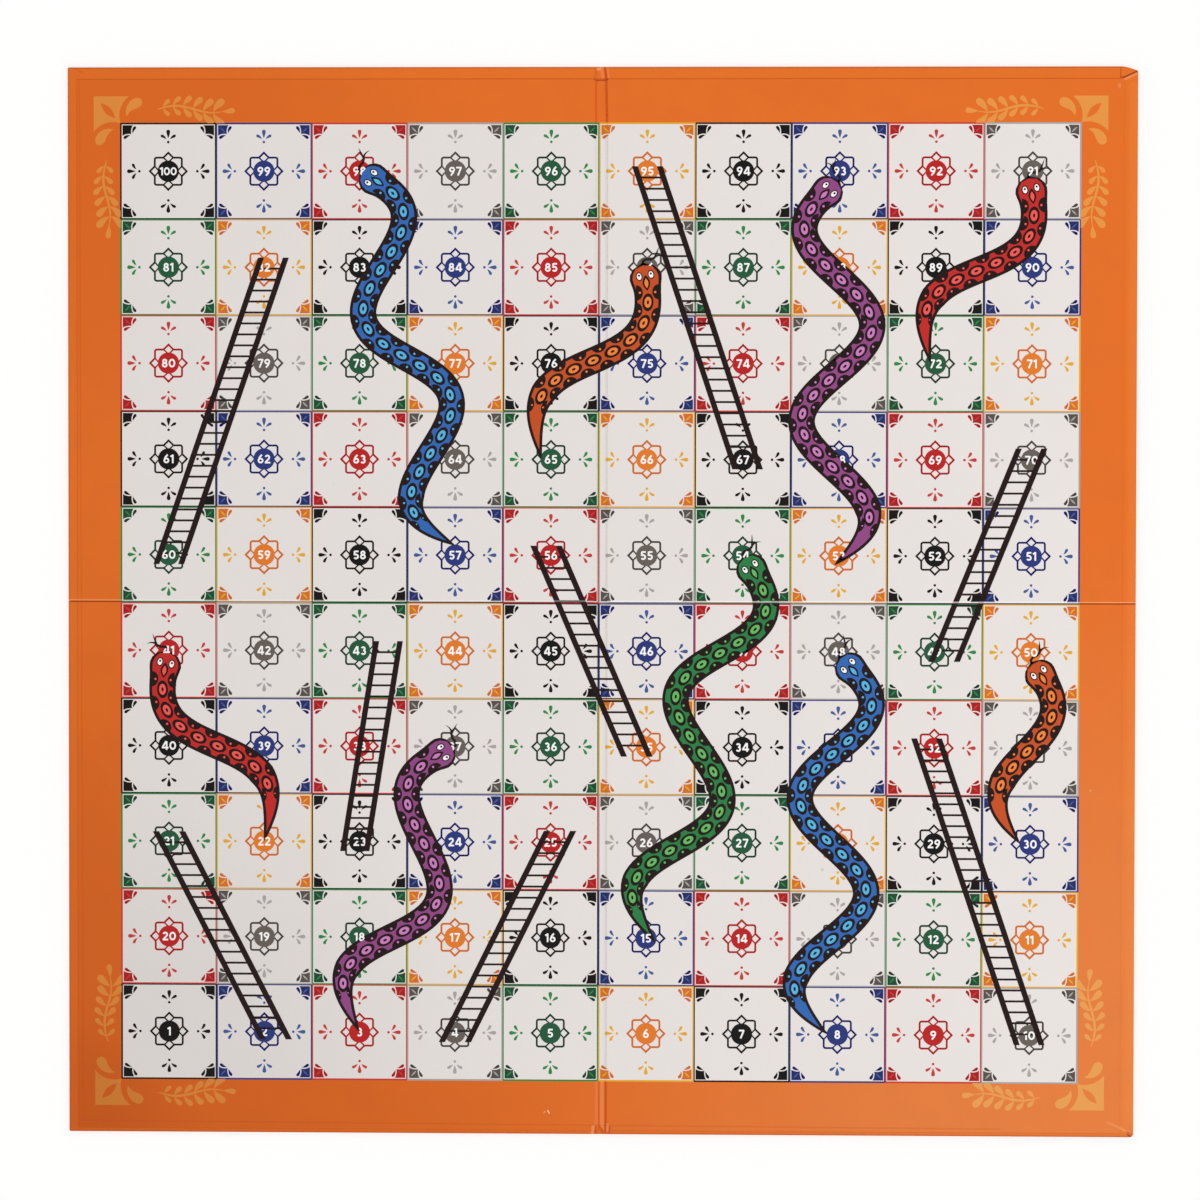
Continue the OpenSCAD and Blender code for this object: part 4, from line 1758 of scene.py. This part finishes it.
@dataclass
class PrintedSheet:
    """The printed sheet with its print: one piece on each panel and two over the channel."""

    looks: Looks
    white: Screen = (228, 222, 219)
    edge: float = 0.06
    sunk: float = 0.02
    fold_lift: float = 0.012

    def look(self) -> bpy.types.Material:
        """The bare paper."""
        finish = PaperFinish(
            name="printed_paper",
            colour=self.white,
            mottle=0.02,
            specks=0.01,
            speck_colour=(170, 160, 150),
            marks=PAPER_MARKS,
        )
        return finish.look(self.looks.effects)

    def panel_sheet(self, panel: Panel, look: bpy.types.Material) -> None:
        """One panel's sheet, with its upper edges slightly rounded."""
        area = Region.of_panel(panel)
        draft = MeshDraft()
        heights = (
            (PLAN.flush, 0.0),
            (PLAN.top - self.edge, 0.0),
            (PLAN.top - self.edge * 0.3, self.edge * 0.3),
            (PLAN.top, self.edge),
        )
        rings = []
        for z, inset in heights:
            corners = rectangle(
                (area.low_x + inset, area.low_y + inset), (area.high_x - inset, area.high_y - inset)
            )
            rings.append([draft.corner(x, y, z) for x, y in corners])
        for low, high in zip(rings, rings[1:]):
            for i in range(4):
                draft.face((low[i - 1], low[i], high[i], high[i - 1]))
        draft.face(rings[-1])
        draft.face(rings[0][::-1])
        piece = draft.build("sheet_" + panel.body, [look])
        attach(piece, panel.body)
        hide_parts("face_" + panel.body)
        report(piece)

    def fold_sheet(self, half: FoldHalf, look: bpy.types.Material) -> None:
        """The sheet where it sags into one half of the channel."""
        area = Region.of_fold(half)
        draft = MeshDraft()
        columns = round((area.high_x - area.low_x) / CHANNEL.column) + 1
        places = CHANNEL.rows(area.low_y, area.high_y)

        def surface(depth: float) -> Where:
            def where(i: int, j: int) -> Spot:
                x, y = area.low_x + i * CHANNEL.column, places[j]
                return x, y, PLAN.top + CHANNEL.height(x, y) - depth

            return where

        draft.slab(columns, len(places), surface(0.0), surface(PLAN.sheet))
        piece = draft.build(f"sheet_fold_{half.label}", [look])
        smooth(piece, 40)
        join_over_fold(piece, PLAN.top)
        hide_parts(f"face_hinge_{half.label}")
        report(piece)

    def panel_print(self, panel: Panel, board: Print) -> None:
        """One film for each plate on one panel."""
        area = Region.of_panel(panel)
        drafts: dict[Plate, tuple[MeshDraft, list[Ink]]] = {}
        for (ink, height), shapes in board.shapes.items():
            inside = [c for c in (area.clip(s) for s in shapes) if len(c) > 2]
            if inside:
                draft, inks = drafts.setdefault(ink.plate, (MeshDraft(), []))
                if ink not in inks:
                    inks.append(ink)
                draft.film(inside, area, PLAN.top - self.sunk, PLAN.top + height, inks.index(ink))
        for plate, (draft, inks) in drafts.items():
            looks = [self.looks.ink(ink) for ink in inks]
            piece = draft.build(f"print_{plate.label}_{panel.body}", looks, True)
            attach(piece, panel.body)
            report(piece)

    def fold_print(self, half: FoldHalf, board: Print) -> None:
        """The print over one half of the channel, as films that bend."""
        area = Region.of_fold(half)
        bands = area.bands(round((area.high_x - area.low_x) / CHANNEL.column))
        low = PLAN.top - self.sunk
        drafts: dict[str, tuple[MeshDraft, list[Ink]]] = {}
        for (ink, height), shapes in board.shapes.items():
            inside = [c for band in bands for c in (band.clip(s) for s in shapes) if len(c) > 2]
            if inside:
                draft, inks = drafts.setdefault(ink.plate.fold_label, (MeshDraft(), []))
                if ink not in inks:
                    inks.append(ink)
                pieces = [piece for shape in inside for piece in lengths_of(shape, CHANNEL.row)]
                lifted = height + self.fold_lift * (1 - height / Pass.PUPIL.value)
                draft.film(pieces, area, low, PLAN.top + lifted, inks.index(ink), CHANNEL.height)
        for label, (draft, inks) in drafts.items():
            looks = [self.looks.ink(ink) for ink in inks]
            piece = draft.build(f"print_{label}_fold_{half.label}", looks, True)
            join_over_fold(piece, PLAN.top)
            report(piece)

    def make(self, board: Print) -> None:
        """Makes the sheet and its print."""
        look = self.look()
        for panel in Panel:
            self.panel_sheet(panel, look)
            self.panel_print(panel, board)
        for half in FoldHalf:
            self.fold_sheet(half, look)
            self.fold_print(half, board)


def lengths_of(shape: Polygon, step: float) -> list[Polygon]:
    """Cuts a long shape into short lengths, so that a film can follow a sag."""
    low = min(p[1] for p in shape)
    high = max(p[1] for p in shape)
    cuts = [k * step for k in range(math.floor(low / step) + 1, math.ceil(high / step))]
    pieces = []
    for at in cuts:
        below = cut_at(shape, 1, at, -1)
        shape = cut_at(shape, 1, at, 1)
        if len(below) > 2:
            pieces.append(below)
    return pieces + ([shape] if len(shape) > 2 else [])


def join_over_fold(piece: bpy.types.Object, z: float) -> None:
    """Bakes a piece's placing into its mesh."""
    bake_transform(piece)


def report(piece: bpy.types.Object) -> None:
    """Logs one finished piece."""
    faces = len(piece.data.polygons) if piece.type == "MESH" else 0
    LOG.info("%s: %d faces", piece.name, faces)


@dataclass
class CoveringPaper:
    """The paper that covers the back, wraps the edges and turns in over the print side."""

    looks: Looks
    colour: Screen = (224, 110, 33)
    roll: float = 0.5
    back_band: float = 6.0
    stations: int = 80
    crush_from: Point = (195.5, 190.0)
    crush_span: Point = (4.5, 10.0)
    crush_depth: float = 1.6
    fold_columns: int = 18
    lip_aside: float = 0.1
    lip_aside_inner: float = 0.08
    back_aside_inner: float = 0.05
    lip_sag: float = 0.8
    lip_drop: float = 0.05
    lip_from: float = 0.9
    lip_rise: float = 0.7
    ripple: float = 0.16
    ripple_fade: float = 5.0
    corners: dict[Panel, float] = field(
        default_factory=lambda: {
            Panel.TOP_LEFT: 0.5,
            Panel.TOP_RIGHT: 0.6,
            Panel.BOTTOM_LEFT: 0.4,
            Panel.BOTTOM_RIGHT: 1.3,
        }
    )

    def look(self) -> bpy.types.Material:
        """The plain coloured paper."""
        finish = orange_finish("covering_paper", self.colour, self.marks())
        return finish.look(self.looks.effects)

    @staticmethod
    def marks() -> tuple[Mark, ...]:
        """Painted shade at the left corners and painted sheen at the lower right one, painted shade along
        the outer edges and at the printed sheet's edge, a painted highlight along the right turn-in, and
        painted shade, dirt and highlight at the mitres' seams and creases.
        """
        far = PLAN.half
        dark, deep = (190, 80, 22), (138, 48, 10)
        left, right = -far + PLAN.reveal_left, far - PLAN.reveal_right
        top, bottom = far - PLAN.reveal_top, -far + PLAN.reveal_bottom
        return (
            *corner_marks(0.67),
            # painted highlight along the right turn-in
            Mark((198.8, -192.0), (198.8, 192.0), 3.2, (240, 140, 62), 0.2, 0.2),
            # painted shade along the lower edge
            Mark((-199.0, -199.8), (199.0, -199.8), 2.0, (212, 98, 26), 0.5, 0.3),
            # painted shade at the step of the printed sheet's edges
            Mark((left, bottom), (left, top), 0.45, dark, 0.5, 0.5),
            Mark((right, bottom), (right, top), 0.45, dark, 0.15, 0.5),
            Mark((left, top), (right, top), 0.45, dark, 0.85, 0.5),
            Mark((left, bottom), (right, bottom), 0.45, dark, 0.3, 0.5),
            # painted shade on the rolled outer edges
            Mark((-far, -far), (-far, far), 0.7, (190, 84, 26), 0.6, 0.4),
            Mark((-far, far), (far, far), 0.7, (178, 78, 32), 0.7, 0.4),
            Mark((-far, -far), (far, -far), 0.6, (170, 62, 12), 0.6, 0.4),
            *pucker_marks(),
            *lip_marks(),
            # painted highlight under the upper right mitre, then painted shade and dirt in its seams
            Mark((194.6, 195.2), (199.2, 197.3), 0.8, (244, 160, 104), 0.5, 0.4),
            Mark((194.8, 196.0), (199.8, 198.3), 0.5, deep, 0.9, 0.5, 2.0),
            Mark((193.6, 196.0), (194.8, 196.0), 0.4, deep, 0.8, 0.5, 1.0),
            Mark((193.5, 196.0), (193.5, 199.3), 0.35, deep, 0.5, 0.5, 1.0),
            # painted highlight along a crease near the lower right corner, and painted shade in the small
            # creases beside it
            Mark((190.4, -194.4), (198.9, -198.4), 0.6, (240, 156, 104), 0.5, 0.8),
            Mark((197.6, -198.0), (199.4, -198.7), 0.45, deep, 0.5, 0.8, 1.0),
            Mark((197.9, -198.9), (198.9, -199.7), 0.5, deep, 0.8, 0.8, 1.0),
            # painted shade in the upper left mitre's seam
            Mark((-196.6, 199.4), (-194.4, 198.0), 0.5, (200, 88, 28), 0.5, 0.8, 1.0),
            *cut_marks((249, 158, 93), (150, 44, 6), 0.95, 0.8),
        )

    def profile(self) -> list[Point]:
        """The paper's cross-section at an edge, as inset and height, all the way round."""
        r, t, h = self.roll, PLAN.wrap, PLAN.flush
        outer = [(self.back_band, 0.0)]
        outer += [(r - x, y) for x, y in arc((0.0, r), r, 270, 360, 5)]
        outer += [(r - x, y) for x, y in arc((0.0, h - r), r, 0, 90, 5)]
        outer += [(2.0, h), (4.0, h), (8.0, h), (PLAN.turn_in, h)]
        q = r - t
        inner = [(PLAN.turn_in, h - t), (2.0, h - t)]
        inner += [(r - x, y) for x, y in arc((0.0, h - r), q, 90, 0, 4)]
        inner += [(r - x, y) for x, y in arc((0.0, r), q, 0, -90, 4)]
        inner += [(self.back_band, t)]
        return outer + inner

    def path(self, panel: Panel, inset: float) -> list[Point]:
        """The line along a panel's two outer edges, drawn in by inset."""
        far = PLAN.half - inset
        radius = max(0.05, self.corners[panel] - inset)
        low_x, low_y = PLAN.channel / 2, panel.gap / 2
        n = self.stations
        top = [(low_x + (far - radius - low_x) * i / n, far) for i in range(n)]
        bend = arc((far - radius, far - radius), radius, 90, 0, 6)
        side = [(far, far - radius - (far - radius - low_y) * i / n) for i in range(1, n + 1)]
        return top + bend + side

    def panel_wrap(self, panel: Panel, look: bpy.types.Material) -> None:
        """The covering paper of one panel."""
        draft = MeshDraft()
        profile = self.profile()
        rows = [self.path(panel, inset) for inset, _ in profile]
        columns = len(rows[0])
        sx, sy = panel.side_x, panel.side_y
        flip = sx * sy < 0
        crushed = panel is Panel.TOP_RIGHT

        def where(i: int, j: int) -> Spot:
            x, y = rows[j % len(rows)][i]
            z = profile[j % len(rows)][1]
            if crushed:
                x, y = self.crush(x, y)
            return sx * x, sy * y, z

        count = len(rows)
        for j in range(count):
            for i in range(columns - 1):
                places = ((i, j), (i + 1, j), (i + 1, j + 1), (i, j + 1))
                corners = [draft.corner(*where(*place)) for place in places]
                draft.face(corners if flip else corners[::-1])
        for i, reverse in ((0, False), (columns - 1, True)):
            cap = [draft.corner(*where(i, j)) for j in range(count)]
            draft.face(cap if reverse != flip else cap[::-1])
        low_x, low_y = PLAN.channel / 2, panel.gap / 2
        far = PLAN.half - self.back_band
        xs, ys = sorted((sx * low_x, sx * far)), sorted((sy * low_y, sy * far))
        back = Region(xs[0], ys[0], xs[1], ys[1])
        draft.film([rectangle((xs[0], ys[0]), (xs[1], ys[1]))], back, 0.0, PLAN.wrap)
        piece = draft.build("wrap_" + panel.body + "_paper", [look])
        smooth(piece, 50)
        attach(piece, panel.body)
        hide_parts("wrap_" + panel.body)
        report(piece)

    def crush(self, x: float, y: float) -> Point:
        """Pushes the upper right corner in, where the real one has been knocked."""
        near = max(0.0, min(1.0, (x - self.crush_from[0]) / self.crush_span[0]))
        high = max(0.0, min(1.0, (y - self.crush_from[1]) / self.crush_span[1]))
        return x, y - self.crush_depth * near * high

    def fold_wrap(self, half: FoldHalf, look: bpy.types.Material) -> None:
        """The covering paper over one half of the channel, with its end turned in."""
        draft = MeshDraft()
        columns = self.fold_columns
        reach = PLAN.channel / 2
        top, far = PLAN.top, PLAN.half
        t = PLAN.wrap
        line_out: list[tuple[float, float, bool]] = [(PLAN.cut_seen / 2, 0.0, False)]
        line_out += [(far * k / 20, 0.0, False) for k in range(1, 20)]
        line_out += [(far - 0.5 + y, z, False) for y, z in arc((0.0, 0.5), 0.5, 270, 360, 4)]
        line_out += [(far - 0.5 + y, z, True) for y, z in arc((0.0, top - t - 0.5), 0.5, 0, 90, 4)]
        line_out += [(far - k, top - t, True) for k in (1.2, 2.0, 3.0, 4.0, 5.0, 8.0, 16.0)]

        def across(i: int, middle: float) -> float:
            """Place of a column, of which the middle two keep clear of the fold's own line."""
            k = i - (columns - 1) / 2
            share = (abs(k) - 0.5) / (columns / 2 - 1)
            return math.copysign(middle + (reach - middle) * share, k)

        def skin(i: int, j: int, depth: float) -> Spot:
            y, z, sags = line_out[j]
            if sags:
                x = across(i, self.lip_aside_inner if depth > 0 else self.lip_aside)
            else:
                x = across(i, self.back_aside_inner if depth > 0 else PLAN.beside_turn)
            k = max(0, min(len(line_out) - 1, j))
            before, after = line_out[max(0, k - 1)], line_out[min(len(line_out) - 1, k + 1)]
            dy, dz = after[0] - before[0], after[1] - before[1]
            length = math.hypot(dy, dz)
            y, z = y - dz / length * depth, z + dy / length * depth
            if sags:
                wave = self.ripple * math.sin(x * 2.6 + y * 0.9)
                ripple = wave * math.exp(-((far - y) / self.ripple_fade))
                share = max(0.0, min(1.0, (z - self.lip_from) / self.lip_rise))
                sag = CHANNEL.dip(x, y) * self.lip_sag
                z += share * (sag + ripple * (1 - (x / reach) ** 2) - self.lip_drop)
            return x, half.side_y * y, max(0.0, z)

        pick = (lambda i: columns - 1 - i) if half.side_y > 0 else (lambda i: i)
        draft.slab(
            columns,
            len(line_out),
            lambda i, j: skin(pick(i), j, 0.0),
            lambda i, j: skin(pick(i), j, t),
        )
        piece = draft.build(f"wrap_fold_{half.label}", [look])
        smooth(piece, 50)
        join_over_fold(piece, PLAN.top)
        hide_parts(f"wrap_hinge_{half.label}")
        report(piece)

    def left_strip(self, look: bpy.types.Material) -> None:
        """The narrow strip that joins the left panels along their butt."""
        draft = MeshDraft()
        reach = PLAN.butt_seen / 2
        area = Region(-PLAN.half, -reach, -PLAN.channel / 2, reach)
        steps = (-reach, -PLAN.beside_turn, PLAN.beside_turn, reach)
        shapes = [
            rectangle((area.low_x + 0.6, low), (area.high_x, high)) for low, high in zip(steps, steps[1:])
        ]
        draft.film(shapes, area, 0.0, PLAN.wrap)
        piece = draft.build("wrap_butt_left", [look])
        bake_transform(piece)
        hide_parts("wrap_hinge_left")
        report(piece)

    def make(self) -> None:
        """Makes the covering paper."""
        look = self.look()
        for panel in Panel:
            self.panel_wrap(panel, look)
        for half in FoldHalf:
            self.fold_wrap(half, look)
        self.left_strip(look)


@dataclass
class GreyboardCores:
    """The four stiff cores: three stay as the CAD has them, and one has a knocked corner."""

    looks: Looks
    paper: CoveringPaper
    colour: Screen = (150, 143, 134)

    def knocked(self, panel: Panel, look: bpy.types.Material) -> None:
        """Makes the core whose outer corner is crushed with its paper."""
        name = "greyboard_" + panel.body
        low, high = (tuple(c / MM for c in corner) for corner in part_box(name))
        edge = PLAN.flush - PLAN.wrap
        steps = ((PLAN.wrap, low[2]), (PLAN.wrap, edge), (PLAN.turn_in, edge), (PLAN.turn_in, high[2]))
        draft = MeshDraft()
        rings = []
        for inset, z in steps:
            outline = [self.paper.crush(x, y) for x, y in self.paper.path(panel, inset)] + [low[:2]]
            outline = [(max(x, low[0]), max(y, low[1])) for x, y in outline]
            rings.append([draft.corner(x, y, z) for x, y in outline])
        count = len(rings[0])
        for inner, outer in zip(rings, rings[1:]):
            for i in range(count):
                draft.face((inner[i - 1], inner[i], outer[i], outer[i - 1]))
        draft.face(rings[0])
        draft.face(rings[-1])
        piece = draft.build("core_" + panel.body, [look], closed=True)
        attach(piece, panel.body)
        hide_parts(name)
        report(piece)

    def make(self) -> None:
        """Gives the cores their fibrous grey."""
        finish = PaperFinish(
            name="greyboard",
            colour=self.colour,
            roughness=0.85,
            mottle=0.2,
            bump=0.00008,
            specks=0.3,
            speck_colour=(196, 190, 182),
        )
        look = finish.look(self.looks.effects)
        for panel in Panel:
            if panel is Panel.TOP_RIGHT:
                self.knocked(panel, look)
                continue
            core = frame["nodes"]["greyboard_" + panel.body]
            core.data.materials.clear()
            core.data.materials.append(look)
            LOG.info("%s: kept", core.name)


@dataclass
class Studio:
    """Camera, light and table for the photograph's view."""

    distance: float = 1.85
    lens: float = 148.17
    aside: tuple[float, float] = (0.0595, 0.0567)
    turn: tuple[float, float, float] = (-1.727, 1.85, 0.085)
    world: float = 0.7
    key: float = 0.97
    key_turn: float = 10.0
    key_spread: float = 20.0
    table: float = 3.0
    table_glow: float = 0.5
    table_drop: float = 0.05

    def camera(self) -> None:
        """Looks straight down at the board, as in the photograph."""
        data = bpy.data.cameras.new("camera")
        data.lens = self.lens
        data.sensor_width = 36.0
        data.clip_end = 20.0
        camera = bpy.data.objects.new("camera", data)
        camera.location = (*self.aside, self.distance)
        camera.rotation_euler = [math.radians(angle) for angle in self.turn]
        bpy.context.scene.collection.objects.link(camera)
        bpy.context.scene.camera = camera

    @staticmethod
    def seen_directly(pen: NodePen) -> Socket:
        """1 for what the camera, a reflection or glass shows, and 0 for light on the board."""
        path = pen.node("ShaderNodeLightPath").outputs
        seen = pen.maths("MAXIMUM", path["Is Camera Ray"], path["Is Glossy Ray"])
        return pen.maths("MAXIMUM", seen, path["Is Transmission Ray"])

    def light(self) -> None:
        """An even sky with one soft light from the lower right."""
        world = bpy.data.worlds.new("studio")
        world.use_nodes = True
        pen = NodePen(world.node_tree)
        world.node_tree.nodes.clear()
        sky = pen.node("ShaderNodeBackground")
        sky.inputs["Color"].default_value = (1.0, 1.0, 1.0, 1.0)
        sky.inputs["Strength"].default_value = self.world
        seen = pen.node("ShaderNodeBackground")
        seen.inputs["Color"].default_value = (1.0, 1.0, 1.0, 1.0)
        pick = pen.node("ShaderNodeMixShader")
        pen.link(self.seen_directly(pen), pick.inputs[0])
        pen.link(sky.outputs[0], pick.inputs[1])
        pen.link(seen.outputs[0], pick.inputs[2])
        pen.link(pick.outputs[0], pen.node("ShaderNodeOutputWorld").inputs["Surface"])
        bpy.context.scene.world = world
        data = bpy.data.lights.new("key", "SUN")
        data.energy = self.key
        data.angle = math.radians(self.key_spread)
        data.color = (1.0, 0.985, 0.965)
        lamp = bpy.data.objects.new("key", data)
        lamp.rotation_euler = (math.radians(self.key_turn), math.radians(self.key_turn), 0.0)
        bpy.context.scene.collection.objects.link(lamp)

    def floor(self) -> None:
        """A plain white table under the board."""
        draft = MeshDraft()
        side = self.table / MM
        draft.grid(2, 2, lambda i, j: ((i - 0.5) * side, (j - 0.5) * side, -self.table_drop))
        look = bpy.data.materials.new("table")
        look.use_nodes = True
        tree = look.node_tree
        tree.nodes.clear()
        pen = NodePen(tree)
        matt = pen.node("ShaderNodeBsdfPrincipled")
        matt.inputs["Base Color"].default_value = (1.0, 1.0, 1.0, 1.0)
        matt.inputs["Roughness"].default_value = 0.9
        glow = pen.node("ShaderNodeEmission")
        pick = pen.node("ShaderNodeMixShader")
        pen.link(pen.maths("MULTIPLY", self.seen_directly(pen), self.table_glow), pick.inputs[0])
        pen.link(matt.outputs[0], pick.inputs[1])
        pen.link(glow.outputs[0], pick.inputs[2])
        pen.link(pick.outputs[0], pen.node("ShaderNodeOutputMaterial").inputs["Surface"])
        table = draft.build("table", [look])

    def make(self) -> None:
        """Sets the studio up."""
        view = bpy.context.scene.view_settings
        view.view_transform = "Standard"
        self.camera()
        self.light()
        self.floor()


def draw_print() -> Print:
    """Everything that is printed on the sheet."""
    board = Print()
    BorderArt().press(board)
    squares = SquareArt()
    for row in range(PLAN.squares):
        for col in range(PLAN.squares):
            squares.press(board, col, row)
    LadderArt().press(board)
    snakes = SnakeArt()
    for snake in SNAKES:
        snakes.press(board, snake)
    return board


def main() -> None:
    """Builds the board and the studio."""
    logging.basicConfig(level=logging.INFO, format="%(name)s %(message)s")
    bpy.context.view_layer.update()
    Studio().make()
    looks = Looks(Effects())
    paper = CoveringPaper(looks)
    GreyboardCores(looks, paper).make()
    paper.make()
    PrintedSheet(looks).make(draw_print())


if __name__ == "__main__":
    main()
